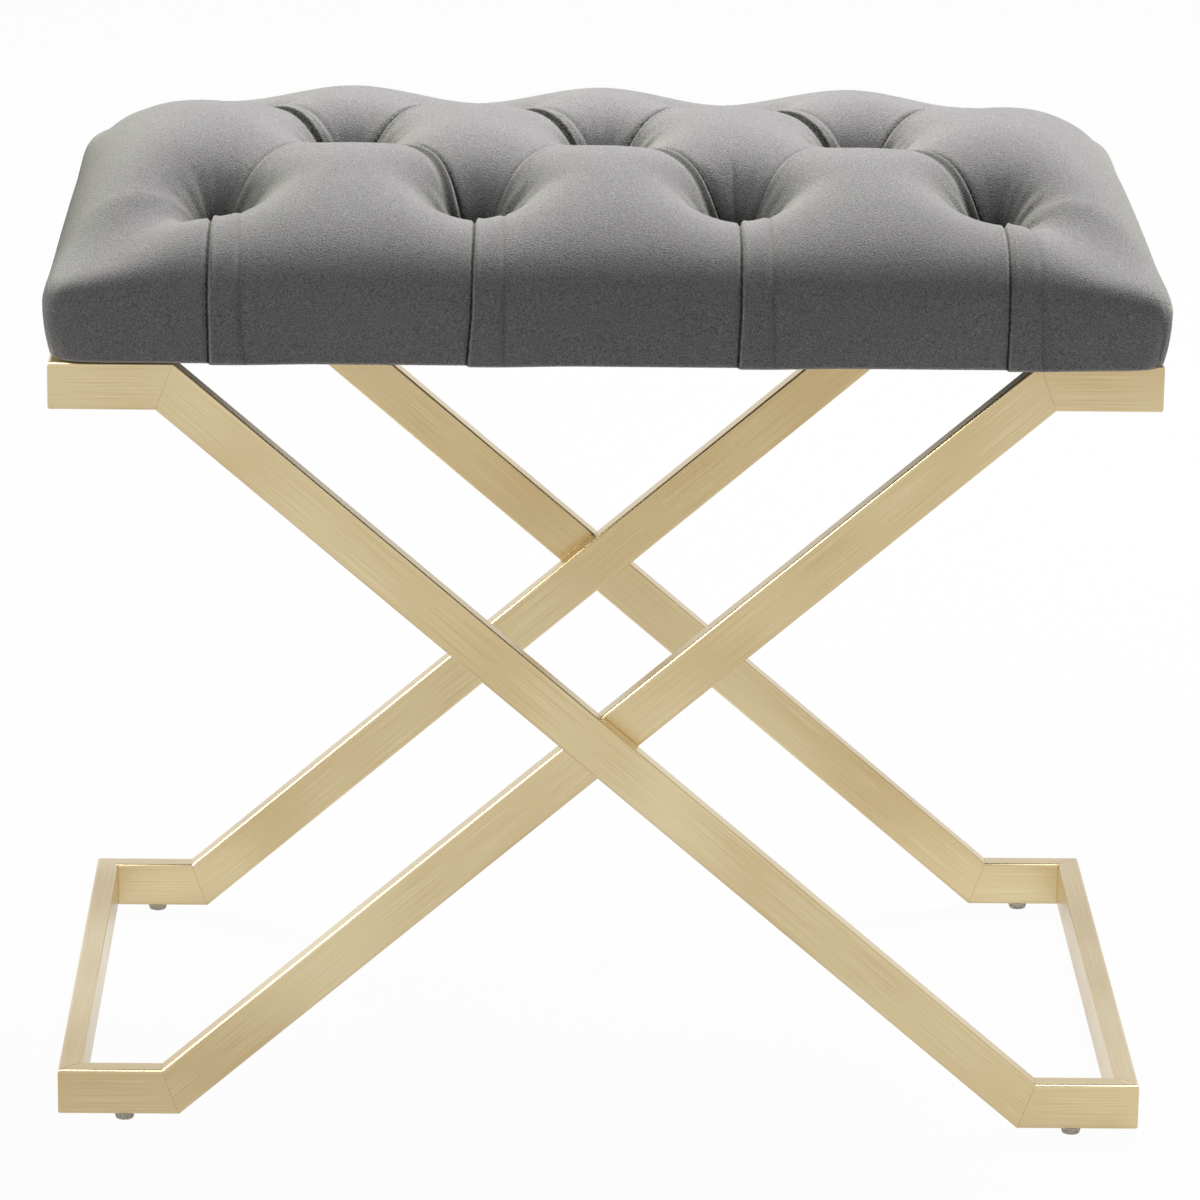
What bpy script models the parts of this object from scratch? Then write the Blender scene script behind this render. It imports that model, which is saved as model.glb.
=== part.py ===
"""Upholstered bench: a deep-tufted seat on a crossed base of mitred rectangular tube.

Metres, +Z up. The origin is on the floor under the middle of the bench, +X runs along the seat and
-Y is the front. The base is two closed loops of tube, each bent like a Z on the front and on the rear.
The outer loop has its feet on the right. The inner loop has its feet on the left and stands one tube
thickness inside the outer one, so that the legs pass each other side by side where they cross.
"""
import math

import bmesh
import bpy
from mathutils import Matrix, Vector

# Seat
SEAT_WIDTH = 0.606
SEAT_DEPTH = 0.402
SEAT_HEIGHT = 0.0965
SIDE_HEIGHT = 0.028
SIDE_DRAW = 0.003
COVER_THICK = 0.0016
COVER_RETURN = 0.018
BOARD_THICK = 0.015
BOARD_PADDING = 0.0035

# Base of rectangular tube, set in under the seat
OVERHANG_ENDS = 0.004
OVERHANG_FRONT = 0.006
FRAME_HEIGHT = 0.433
TUBE_TALL = 0.026
TUBE_THIN = 0.013
TUBE_WALL = 0.0012
TUBE_CORNER = 0.0017
STUB_REACH = 0.0622

# Plastic glides under the feet
GLIDE_HEIGHT = 0.004
GLIDE_TOP_RADIUS = 0.0058
GLIDE_FOOT_RADIUS = 0.0050
GLIDE_STEM_RADIUS = 0.0022
GLIDE_STEM_LENGTH = 0.0055
GLIDE_INSET = 0.0365

# Plates in the top corners of the base, with the screws and nuts that hold the seat
PLATE_REACH = 0.056
PLATE_TIP = 0.009
PLATE_THICK = 0.003
SCREW_INSET = 0.021
SCREW_RADIUS = 0.0030
SCREW_HEAD_RADIUS = 0.0056
SCREW_HEAD_HEIGHT = 0.0034
SCREW_HEAD_CHAMFER = 0.0012
SCREW_TIP_COVER = 0.0010
NUT_WALL = 0.0008
NUT_LENGTH = 0.011
NUT_FLANGE_RADIUS = 0.0095
NUT_FLANGE_THICK = 0.0015

# Tufts: the front and rear rows hold TUFT_COLUMNS, the middle row one less
TUFT_COLUMNS = 4
ROLL_ENDS = 0.089
ROLL_FRONT = 0.096
FOLDED_PLEAT_DEPTH = 0.009
THIN_PLEAT_DEPTH = 0.0055
PIT_DEPTH = 0.044
PIT_REACH = 0.0215
SADDLE_DEPTH = 0.011
SADDLE_WIDTH = 0.030
SADDLE_BEGIN = 0.018
BUTTON_RADIUS = 0.007
BUTTON_DOME = 0.004
BUTTON_RIM = 0.0012
STRAND_RADIUS = 0.0012
HOLE_SLACK = 0.0015

# Clearance between pieces that touch
GAP = 0.0003

# Counts of facets
CORNER_STEPS = 3
ROUND_SIDES = 12
HOLE_SIDES = 8
DOME_STEPS = 3
TUFT_CELLS = 3
ROLL_RINGS = 3

# How the rings of the roll crowd towards the tufts
RING_CROWDING = 1.2

# How square the seat is in plan, at its widest and on top, and how late it turns square
POWER_AT_EDGE = 10.0
POWER_ON_TOP = 2.6
EDGE_SQUARING = 3

# How the seat is crowned: powers from front to back and over the ends, and how the corners fall
CROWN_POWER = 2.3
END_POWER = 2.6
END_ROUND = 1.3
CORNER_DROP = 0.35
CORNER_LEVELLING = 5

# How pleats and pits fall away: powers, and the share of a pleat left at the widest ring
FOLDED_PLEAT_POWER = 0.75
THIN_PLEAT_POWER = 1.2
PIT_POWER = 1.25
FRONT_PLEAT_LEFT = 0.06

# Base worked out from the seat
FRAME_WIDTH = SEAT_WIDTH - 2 * OVERHANG_ENDS
FRAME_DEPTH = SEAT_DEPTH - 2 * OVERHANG_FRONT

# Levels worked out from the sizes above
FRAME_TOP = GLIDE_HEIGHT + FRAME_HEIGHT
SEAT_UNDERSIDE = FRAME_TOP + GAP
BOARD_UNDERSIDE = SEAT_UNDERSIDE + COVER_THICK + GAP
BOARD_TOP = BOARD_UNDERSIDE + BOARD_THICK
FOAM_UNDERSIDE = BOARD_TOP + GAP

# Tuft lattice inside the roll of the seat
TUFT_HALF_WIDTH = SEAT_WIDTH / 2 - ROLL_ENDS
TUFT_ROW = SEAT_DEPTH / 2 - ROLL_FRONT
TUFT_SPACING = 2 * TUFT_HALF_WIDTH / (TUFT_COLUMNS - 1)
CELLS_ACROSS = 2 * TUFT_CELLS * (TUFT_COLUMNS - 1)
CELLS_DEEP = 2 * TUFT_CELLS


def clear_scene():
    """Empty the scene before the bench is built."""
    for item in list(bpy.data.objects):
        bpy.data.objects.remove(item, do_unlink=True)


def new_collection(name):
    """A collection under the scene's own."""
    collection = bpy.data.collections.new(name)
    bpy.context.scene.collection.children.link(collection)
    return collection


def new_material(name, colour, roughness, metallic):
    """A Principled material in one colour."""
    material = bpy.data.materials.new(name)
    material.use_nodes = True
    shader = material.node_tree.nodes["Principled BSDF"]
    shader.inputs["Base Color"].default_value = (*colour, 1.0)
    shader.inputs["Roughness"].default_value = roughness
    shader.inputs["Metallic"].default_value = metallic
    return material


clear_scene()
PARTS = new_collection("upholstered_bench")
CUTTERS = new_collection("upholstered_bench_cutters")
GOLD = new_material("brushed_gold_steel", (0.66, 0.52, 0.29), 0.34, 1.0)
VELVET = new_material("grey_velvet", (0.14, 0.13, 0.135), 0.9, 0.0)
PLYWOOD = new_material("plywood", (0.52, 0.37, 0.22), 0.7, 0.0)
FOAM = new_material("seat_foam", (0.80, 0.76, 0.62), 0.95, 0.0)
LINING = new_material("black_lining", (0.02, 0.02, 0.022), 0.95, 0.0)
ZINC = new_material("zinc_steel", (0.60, 0.61, 0.63), 0.4, 1.0)
GLIDE_PLASTIC = new_material("translucent_plastic", (0.62, 0.62, 0.60), 0.45, 0.0)


def add_part(name, mesh, material, place=None):
    """A named piece of the bench, with its own material."""
    mesh.name = name
    mesh.materials.clear()
    mesh.materials.append(material)
    part = bpy.data.objects.new(name, mesh)
    PARTS.objects.link(part)
    if place is not None:
        part.matrix_world = place
    return part


def add_cutter(name, mesh):
    """A solid that only takes material away from a piece."""
    cutter = bpy.data.objects.new(name, mesh)
    CUTTERS.objects.link(cutter)
    cutter.hide_render = True
    cutter.display_type = "WIRE"
    return cutter


def cut(part, cutter):
    """Take the cutter's solid out of a piece."""
    boolean = part.modifiers.new("cut", "BOOLEAN")
    boolean.operation = "DIFFERENCE"
    boolean.object = cutter


def mesh_from(shape):
    """Turn a bmesh into a mesh and free it."""
    mesh = bpy.data.meshes.new("shape")
    shape.to_mesh(mesh)
    shape.free()
    return mesh


def cylinders(places, radius, low, high, sides):
    """A mesh of upright cylinders of one radius, one at each place in plan."""
    shape = bmesh.new()
    for x, y in places:
        middle = Matrix.Translation((x, y, (low + high) / 2))
        bmesh.ops.create_cone(
            shape,
            cap_ends=True,
            segments=sides,
            radius1=radius,
            radius2=radius,
            depth=high - low,
            matrix=middle,
        )
    return mesh_from(shape)


def circle(x, y, radius, sides):
    """Points of a round outline."""
    turns = [2 * math.pi * step / sides for step in range(sides)]
    return [(x + radius * math.cos(turn), y + radius * math.sin(turn)) for turn in turns]


def rounded_rectangle(width, height, radius):
    """Points of a rectangle with an arc at each corner."""
    points = []
    for quarter, (side_x, side_y) in enumerate(((1, 1), (-1, 1), (-1, -1), (1, -1))):
        for step in range(CORNER_STEPS + 1):
            turn = math.pi / 2 * (quarter + step / CORNER_STEPS)
            x = side_x * (width / 2 - radius) + radius * math.cos(turn)
            y = side_y * (height / 2 - radius) + radius * math.sin(turn)
            points.append((x, y))
    return points


def extruded_outline(loops, length):
    """Prism of closed flat loops, the first one outside and the others holes, centred on z = 0."""
    curve = bpy.data.curves.new("outline", "CURVE")
    curve.dimensions = "2D"
    curve.fill_mode = "BOTH"
    curve.extrude = length / 2
    for loop in loops:
        spline = curve.splines.new("POLY")
        spline.points.add(len(loop) - 1)
        for point, (x, y) in zip(spline.points, loop):
            point.co = (x, y, 0.0, 1.0)
        spline.use_cyclic_u = True
    outline = bpy.data.objects.new("outline", curve)
    PARTS.objects.link(outline)
    evaluated = outline.evaluated_get(bpy.context.evaluated_depsgraph_get())
    shape = bmesh.new()
    shape.from_mesh(bpy.data.meshes.new_from_object(evaluated))
    bpy.data.objects.remove(outline, do_unlink=True)
    bmesh.ops.remove_doubles(shape, verts=shape.verts, dist=0.000001)
    bmesh.ops.recalc_face_normals(shape, faces=shape.faces)
    return mesh_from(shape)


def turned(name, profile, place, material, closed=False):
    """Round piece from a profile of (radius, height) that runs down its outer side."""
    edges = [(step, step + 1) for step in range(len(profile) - 1)]
    if closed:
        edges.append((len(profile) - 1, 0))
    mesh = bpy.data.meshes.new(name)
    mesh.from_pydata([(radius, 0.0, height) for radius, height in profile], edges, [])
    part = add_part(name, mesh, material, Matrix.Translation((place[0], place[1], 0.0)))
    screw = part.modifiers.new("turn", "SCREW")
    screw.axis = "Z"
    screw.angle = 2 * math.pi
    screw.steps = ROUND_SIDES
    screw.render_steps = ROUND_SIDES
    screw.use_merge_vertices = True
    screw.merge_threshold = 0.00001
    screw.use_smooth_shade = True
    return part


def mitred_tube(name, start, end, before, after):
    """Hollow tube from start to end, cut at each end on the plane halfway to its neighbour's direction."""
    run = (end - start).normalized()
    thin = run.cross(Vector((0.0, 0.0, 1.0))).normalized()
    tall = run.cross(thin)
    length = (end - start).length
    outside = rounded_rectangle(TUBE_THIN, TUBE_TALL, TUBE_CORNER)
    bore_x = TUBE_THIN / 2 - TUBE_WALL
    bore_y = TUBE_TALL / 2 - TUBE_WALL
    bore = [(bore_x, bore_y), (-bore_x, bore_y), (-bore_x, -bore_y), (bore_x, -bore_y)]
    mesh = extruded_outline([outside, bore], length)
    start_normal = (before + run).normalized()
    end_normal = (run + after).normalized()
    for vertex in mesh.vertices:
        at_end = vertex.co.z > 0.0
        normal = end_normal if at_end else start_normal
        clearance = -GAP / 2 if at_end else GAP / 2
        lean = vertex.co.x * normal.dot(thin) + vertex.co.y * normal.dot(tall)
        along = (clearance - lean) / normal.dot(run)
        vertex.co.z = length + along if at_end else along
    mesh.set_sharp_from_angle(angle=math.radians(50))
    axes = Matrix((thin, tall, run)).transposed().to_4x4()
    return add_part(name, mesh, GOLD, Matrix.Translation(start) @ axes)


def base_loop(name, foot_side, inward):
    """One closed loop of eight mitred tubes, with its glides and seat plates, and its feet on foot_side."""
    x_rail = FRAME_WIDTH / 2 - TUBE_THIN / 2
    x_kink = FRAME_WIDTH / 2 - STUB_REACH
    y_front = -(FRAME_DEPTH / 2 - TUBE_THIN / 2 - inward)
    z_top = FRAME_TOP - TUBE_TALL / 2
    z_foot = GLIDE_HEIGHT + TUBE_TALL / 2
    half = [
        (-foot_side * x_rail, z_top),
        (-foot_side * x_kink, z_top),
        (foot_side * x_kink, z_foot),
        (foot_side * x_rail, z_foot),
    ]
    path = [Vector((x, y_front, z)) for x, z in half]
    path += [Vector((x, -y_front, z)) for x, z in reversed(half)]
    runs = [
        "front_top_stub", "front_leg", "front_foot_stub", "foot_rail",
        "rear_foot_stub", "rear_leg", "rear_top_stub", "top_rail",
    ]
    count = len(path)
    ways = [(path[(step + 1) % count] - path[step]).normalized() for step in range(count)]
    tubes = {}
    for step, run in enumerate(runs):
        tubes[run] = mitred_tube(
            f"{name}_{run}", path[step], path[(step + 1) % count], ways[step - 1], ways[(step + 1) % count]
        )
    for end, y in (("front", y_front), ("rear", -y_front)):
        foot_glide(f"{name}_{end}", tubes[f"{end}_foot_stub"], foot_side, y)
        seat_fixing(f"{name}_{end}", -foot_side, y)


def foot_glide(name, foot_stub, side, y):
    """Tapered plastic glide, with its stem in a hole drilled in the underside of the foot."""
    x = side * (FRAME_WIDTH / 2 - GLIDE_INSET)
    low = GLIDE_HEIGHT - TUBE_WALL
    high = GLIDE_HEIGHT + TUBE_TALL / 2
    hole = cylinders([(x, y)], GLIDE_STEM_RADIUS + GAP, low, high, ROUND_SIDES)
    cut(foot_stub, add_cutter(f"{name}_glide_hole", hole))
    shoulder = GLIDE_HEIGHT - GAP
    stem_top = GLIDE_HEIGHT + GLIDE_STEM_LENGTH
    profile = [
        (0.0, stem_top),
        (GLIDE_STEM_RADIUS, stem_top),
        (GLIDE_STEM_RADIUS, shoulder),
        (GLIDE_TOP_RADIUS, shoulder),
        (GLIDE_FOOT_RADIUS, 0.0),
        (0.0, 0.0),
    ]
    turned(f"{name}_glide", profile, (x, y), GLIDE_PLASTIC)


def screw_places():
    """Plan place of each seat screw, in the order of the loops and their ends."""
    places = []
    for side, inward in ((-1, 0.0), (1, TUBE_THIN + GAP)):
        for end in (-1, 1):
            x = side * (FRAME_WIDTH / 2 - TUBE_THIN - GAP - SCREW_INSET)
            y = end * (FRAME_DEPTH / 2 - TUBE_THIN - GAP - inward - SCREW_INSET)
            places.append((x, y))
    return places


def seat_fixing(name, side, y_tube):
    """Corner plate between a top stub and its rail, with the screw and flanged nut that hold the seat."""
    end = math.copysign(1.0, y_tube)
    x_corner = FRAME_WIDTH / 2 - TUBE_THIN - GAP
    y_corner = abs(y_tube) - TUBE_THIN / 2 - GAP
    half = [(0.0, 0.0), (PLATE_REACH, 0.0), (PLATE_REACH, PLATE_TIP)]
    corners = half + [(PLATE_TIP, PLATE_REACH), (0.0, PLATE_REACH)]
    outline = [(side * (x_corner - x), end * (y_corner - y)) for x, y in corners]
    x = side * (x_corner - SCREW_INSET)
    y = end * (y_corner - SCREW_INSET)
    plate = extruded_outline([outline, circle(x, y, SCREW_RADIUS + GAP, HOLE_SIDES)], PLATE_THICK)
    add_part(f"{name}_plate", plate, GOLD, Matrix.Translation((0.0, 0.0, FRAME_TOP - PLATE_THICK / 2)))

    head_top = FRAME_TOP - PLATE_THICK - GAP
    tip = BOARD_TOP - SCREW_TIP_COVER
    screw = [
        (0.0, tip),
        (SCREW_RADIUS, tip),
        (SCREW_RADIUS, head_top),
        (SCREW_HEAD_RADIUS, head_top),
        (SCREW_HEAD_RADIUS, head_top - SCREW_HEAD_HEIGHT + SCREW_HEAD_CHAMFER),
        (SCREW_HEAD_RADIUS - SCREW_HEAD_CHAMFER, head_top - SCREW_HEAD_HEIGHT),
        (0.0, head_top - SCREW_HEAD_HEIGHT),
    ]
    turned(f"{name}_screw", screw, (x, y), ZINC)

    bore = SCREW_RADIUS + GAP
    flange_under = BOARD_TOP - NUT_FLANGE_THICK
    nut = [
        (bore, BOARD_TOP),
        (NUT_FLANGE_RADIUS, BOARD_TOP),
        (NUT_FLANGE_RADIUS, flange_under),
        (bore + NUT_WALL, flange_under),
        (bore + NUT_WALL, BOARD_TOP - NUT_LENGTH),
        (bore, BOARD_TOP - NUT_LENGTH),
    ]
    turned(f"{name}_nut", nut, (x, y), ZINC, closed=True)


def tuft_places():
    """Plan place of each tuft, row by row from the front."""
    places = []
    for row in (-1, 0, 1):
        count = TUFT_COLUMNS - 1 + abs(row)
        for column in range(count):
            places.append((TUFT_SPACING * (column - (count - 1) / 2), TUFT_ROW * row))
    return places


def roll_rings():
    """Rings of the roll over the edge from top to widest, as (reach, inset, fall, corner power)."""
    rings = []
    for step in range(ROLL_RINGS + 1):
        reach = math.sin(math.pi / 2 * (step / ROLL_RINGS) ** RING_CROWDING)
        power = POWER_ON_TOP + (POWER_AT_EDGE - POWER_ON_TOP) * reach ** EDGE_SQUARING
        rings.append((reach, 0.0, 0.0, power))
    return rings


def cover_rings():
    """All rings of the velvet: the roll, the drawn-in bottom edge and the return under the board."""
    edge = (1.0, SIDE_DRAW, SIDE_HEIGHT, POWER_AT_EDGE)
    under = (1.0, SIDE_DRAW + COVER_RETURN, SIDE_HEIGHT, POWER_AT_EDGE)
    return roll_rings() + [edge, under]


def square_to_ring(across, deep, power):
    """Direction of a grid place on a ring: the square direction drawn in to a rounded corner."""
    largest = max(across, deep)
    across = across / largest
    deep = deep / largest
    shrink = (across ** power + deep ** power) ** (-1 / power)
    return across * shrink, deep * shrink


def crown(front, end):
    """Share of the height above the widest ring, by shares of the way to the front and over the end."""
    over_front = (1 - min(front, 1.0) ** CROWN_POWER) ** (1 / CROWN_POWER)
    over_end = (1 - min(end, 1.0) ** END_POWER) ** (1 / END_ROUND)
    return over_front * over_end


def crown_height(x, y, reach, frontness):
    """Height share at a place: the crown, with corners drawn down and levelled towards the widest ring."""
    if reach >= 1.0:
        return 0.0
    half_depth = SEAT_DEPTH / 2
    end_reach = max(abs(x) - TUFT_HALF_WIDTH, 0.0) / ROLL_ENDS
    cornerness = 4 * frontness * (1 - frontness)
    share = crown(abs(y) / half_depth, end_reach) * (1 - CORNER_DROP * cornerness * reach)
    if cornerness == 0.0:
        return share
    at_front = crown((TUFT_ROW + ROLL_FRONT * reach) / half_depth, 0.0)
    at_end = crown(TUFT_ROW / half_depth, reach)
    at_ring = at_front * frontness + at_end * (1 - frontness)
    return share + (at_ring - share) * reach ** CORNER_LEVELLING


def pleats(x, y):
    """Depth of the two sets of pleats at a place of the tuft lattice, full on the lines between tufts.

    Along the two diagonals of the lattice the tufts lie at whole numbers.
    """
    along = (x + TUFT_HALF_WIDTH) / TUFT_SPACING
    back = (y + TUFT_ROW) / (2 * TUFT_ROW)
    from_folded = abs(math.sin(math.pi * (along + back)))
    from_thin = abs(math.sin(math.pi * (along - back)))
    folded = FOLDED_PLEAT_DEPTH * (1 - from_folded ** FOLDED_PLEAT_POWER)
    return folded + THIN_PLEAT_DEPTH * (1 - from_thin ** THIN_PLEAT_POWER)


def pits_and_saddles(x, y, front_reach):
    """Depth of the pits round the tufts, and of the saddles where a pleat runs over the front or the rear."""
    away = [math.hypot(x - tuft_x, y - tuft_y) for tuft_x, tuft_y in tuft_places()]
    pit = min(1.0, sum(math.exp(-(distance / PIT_REACH) ** PIT_POWER) for distance in away))
    column = min(max(round((x + TUFT_HALF_WIDTH) / TUFT_SPACING), 0), TUFT_COLUMNS - 1)
    from_column = x - (column * TUFT_SPACING - TUFT_HALF_WIDTH)
    inside = max(TUFT_ROW - abs(y), 0.0)
    bell = math.exp(-(inside / SADDLE_BEGIN) ** 2 - (from_column / SADDLE_WIDTH) ** 2)
    return PIT_DEPTH * pit + SADDLE_DEPTH * (1 - pit) * bell * (1 - front_reach ** 2) ** 2


def cushion_point(column, row, rings):
    """One grid point of the tufted seat: the crowned form, less pleats, pits and saddles along its normal."""
    last = len(rings) - 1
    step_x = column - last
    step_y = row - last
    inner_x = min(max(step_x, 0), CELLS_ACROSS)
    inner_y = min(max(step_y, 0), CELLS_DEEP)
    over_x = step_x - inner_x
    over_y = step_y - inner_y
    x = TUFT_HALF_WIDTH * (2 * inner_x / CELLS_ACROSS - 1)
    y = TUFT_ROW * (2 * inner_y / CELLS_DEEP - 1)
    pleat = pleats(x, y)
    reach, inset, fall, power = rings[max(abs(over_x), abs(over_y))]
    outward = Vector((0.0, 0.0, 0.0))
    frontness = 0.0
    if over_x != 0 or over_y != 0:
        frontness = over_y ** 2 / (over_x ** 2 + over_y ** 2)
        across, deep = square_to_ring(abs(over_x), abs(over_y), power)
        across = math.copysign(across, over_x)
        deep = math.copysign(deep, over_y)
        x += (ROLL_ENDS * reach - inset) * across
        y += (ROLL_FRONT * reach - inset) * deep
        outward = Vector((across, deep, 0.0)).normalized()
    end_reach = min(max(abs(x) - TUFT_HALF_WIDTH, 0.0) / ROLL_ENDS, 1.0)
    front_reach = min(max(abs(y) - TUFT_ROW, 0.0) / ROLL_FRONT, 1.0)
    share = crown_height(x, y, reach, frontness)
    height = SIDE_HEIGHT + (SEAT_HEIGHT - SIDE_HEIGHT) * share - fall
    front_left = FRONT_PLEAT_LEFT + (1 - FRONT_PLEAT_LEFT) * (1 - front_reach) ** 3
    pleat *= (1 - end_reach) ** 2 * front_left
    drop = (pleat + pits_and_saddles(x, y, front_reach)) * (1 - fall / SIDE_HEIGHT)
    normal = outward * reach + Vector((0.0, 0.0, math.sqrt(max(0.0, 1 - reach ** 2))))
    return Vector((x, y, SEAT_UNDERSIDE + height)) - normal * drop


def fold_order(diagonal):
    """Order of a cell's diagonals for its fold: the lower one first, in the seat's corners the outer."""
    first, second = diagonal
    middle = (first.co + second.co) / 2
    outness = sum(abs(vertex.co.x) + abs(vertex.co.y) for vertex in diagonal)
    in_corner = abs(middle.x) > TUFT_HALF_WIDTH and abs(middle.y) > TUFT_ROW
    return 0.0 if in_corner else round(middle.z, 6), -outness


def cushion_surface(rings):
    """Open tufted surface on a grid, split along the lower diagonals so that the pleats stay sharp."""
    columns = CELLS_ACROSS + 2 * (len(rings) - 1)
    rows = CELLS_DEEP + 2 * (len(rings) - 1)
    shape = bmesh.new()
    bmesh.ops.create_grid(shape, x_segments=columns, y_segments=rows, size=1.0)
    for vertex in shape.verts:
        column = round((vertex.co.x + 1) / 2 * columns)
        row = round((vertex.co.y + 1) / 2 * rows)
        vertex.co = cushion_point(column, row, rings)
    for face in list(shape.faces):
        first, second, third, fourth = face.verts
        fold = min(((first, third), (second, fourth)), key=fold_order)
        bmesh.utils.face_split(face, *fold)
    shape.normal_update()
    return shape


def nearest_vertices(shape, places):
    """The vertex of the surface nearest to each place in plan, on its upper side."""
    upper = [vertex for vertex in shape.verts if vertex.co.z > SEAT_UNDERSIDE + COVER_THICK]
    return [min(upper, key=lambda vertex: math.hypot(vertex.co.x - x, vertex.co.y - y)) for x, y in places]


def velvet_cover():
    """Tufted velvet shell, open below inside its return; gives back where each button seats in its pit."""
    shape = cushion_surface(cover_rings())
    tufts = nearest_vertices(shape, tuft_places())
    seats = []
    pits = []
    for tuft in tufts:
        slopes = [math.hypot(face.normal.x, face.normal.y) / face.normal.z for face in tuft.link_faces]
        seats.append(tuft.co.z + BUTTON_RADIUS * max(slopes) + GAP)
        pits.append(tuft.co.copy())
    hole = STRAND_RADIUS + GAP + HOLE_SLACK
    bmesh.ops.bevel(shape, geom=tufts, offset=hole, segments=1, affect="VERTICES")
    openings = []
    for face in shape.faces:
        middle = face.calc_center_median()
        if min((middle - pit).length for pit in pits) < hole:
            openings.append(face)
    bmesh.ops.delete(shape, geom=openings, context="FACES_ONLY")
    cover = add_part("velvet_cover", mesh_from(shape), VELVET)
    cover.data.shade_smooth()
    solidify = cover.modifiers.new("cloth", "SOLIDIFY")
    solidify.thickness = COVER_THICK
    solidify.offset = -1.0
    return seats


def foam_core():
    """Foam under the velvet, on the board, pierced where the button strands pass."""
    shape = cushion_surface(cover_rings()[:-1])
    inset = COVER_THICK + GAP
    moves = [(vertex, vertex.normal * inset * vertex.calc_shell_factor()) for vertex in shape.verts]
    for vertex, move in moves:
        vertex.co -= move
    everything = shape.verts[:] + shape.edges[:] + shape.faces[:]
    level = (0.0, 0.0, FOAM_UNDERSIDE)
    up = (0.0, 0.0, 1.0)
    bmesh.ops.bisect_plane(shape, geom=everything, plane_co=level, plane_no=up, clear_inner=True)
    rim = [edge for edge in shape.edges if edge.is_boundary]
    bmesh.ops.contextual_create(shape, geom=rim)
    bmesh.ops.recalc_face_normals(shape, faces=shape.faces)
    foam = add_part("foam_core", mesh_from(shape), FOAM)
    foam.data.shade_smooth()
    top = SEAT_UNDERSIDE + SEAT_HEIGHT
    holes = cylinders(tuft_places(), STRAND_RADIUS + GAP, SEAT_UNDERSIDE, top, HOLE_SIDES)
    cut(foam, add_cutter("foam_strand_holes", holes))


def seat_outline(steps, inset):
    """Plan outline of the seat's lower edge, moved in by an inset, with points where its corners bend."""
    bend = range(steps // 2 + 1, steps)
    corner = [(steps, step) for step in bend] + [(steps, steps)]
    corner += [(step, steps) for step in reversed(bend)]
    points = []
    for side_x, side_y in ((1, 1), (-1, 1), (-1, -1), (1, -1)):
        quarter = []
        for across, deep in corner:
            x, y = square_to_ring(across, deep, POWER_AT_EDGE)
            x = side_x * (TUFT_HALF_WIDTH + (ROLL_ENDS - inset) * x)
            y = side_y * (TUFT_ROW + (ROLL_FRONT - inset) * y)
            quarter.append((x, y))
        points += quarter if side_x * side_y > 0 else quarter[::-1]
    return points


def seat_board():
    """Plywood board inside the cover, bored for the strands and for the flanged nuts."""
    outline = seat_outline(ROLL_RINGS + 1, SIDE_DRAW + COVER_THICK + BOARD_PADDING)
    mesh = extruded_outline([outline], BOARD_THICK)
    middle = Matrix.Translation((0.0, 0.0, BOARD_TOP - BOARD_THICK / 2))
    board = add_part("seat_board", mesh, PLYWOOD, middle)
    low = BOARD_UNDERSIDE - GAP
    high = BOARD_TOP + GAP
    floor = BOARD_TOP - NUT_FLANGE_THICK - GAP
    nut_bore = SCREW_RADIUS + GAP + NUT_WALL + GAP
    strand_holes = cylinders(tuft_places(), STRAND_RADIUS + GAP, low, high, HOLE_SIDES)
    nut_bores = cylinders(screw_places(), nut_bore, low, high, ROUND_SIDES)
    nut_recesses = cylinders(screw_places(), NUT_FLANGE_RADIUS + GAP, floor, high, ROUND_SIDES)
    cut(board, add_cutter("board_strand_holes", strand_holes))
    cut(board, add_cutter("nut_bores", nut_bores))
    cut(board, add_cutter("nut_recesses", nut_recesses))


def dust_cover():
    """Thin lining that closes the underside inside the velvet's return, with holes for the seat screws."""
    loops = [seat_outline(ROLL_RINGS + 2, SIDE_DRAW + COVER_RETURN + GAP)]
    loops += [circle(x, y, SCREW_RADIUS + GAP, HOLE_SIDES) for x, y in screw_places()]
    mesh = extruded_outline(loops, COVER_THICK)
    add_part("dust_cover", mesh, LINING, Matrix.Translation((0.0, 0.0, SEAT_UNDERSIDE + COVER_THICK / 2)))


def tuft_buttons(seats):
    """Covered buttons in the pits, each with its strand down through the foam and the board."""
    for number, (place, underside) in enumerate(zip(tuft_places(), seats), start=1):
        rim_top = underside + BUTTON_RIM
        profile = [(0.0, rim_top + BUTTON_DOME)]
        for step in range(1, DOME_STEPS):
            turn = math.pi / 2 * (1 - step / DOME_STEPS)
            profile.append((BUTTON_RADIUS * math.cos(turn), rim_top + BUTTON_DOME * math.sin(turn)))
        profile += [
            (BUTTON_RADIUS, rim_top),
            (BUTTON_RADIUS, underside),
            (STRAND_RADIUS, underside),
            (STRAND_RADIUS, BOARD_UNDERSIDE),
            (0.0, BOARD_UNDERSIDE),
        ]
        turned(f"tuft_button_{number:02d}", profile, place, VELVET)


base_loop("outer", 1, 0.0)
base_loop("inner", -1, TUBE_THIN + GAP)
tuft_buttons(velvet_cover())
foam_core()
seat_board()
dust_cover()
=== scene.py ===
"""Looks of the upholstered bench: tufted velvet seat on a crossed base of brushed gold tube."""

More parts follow.
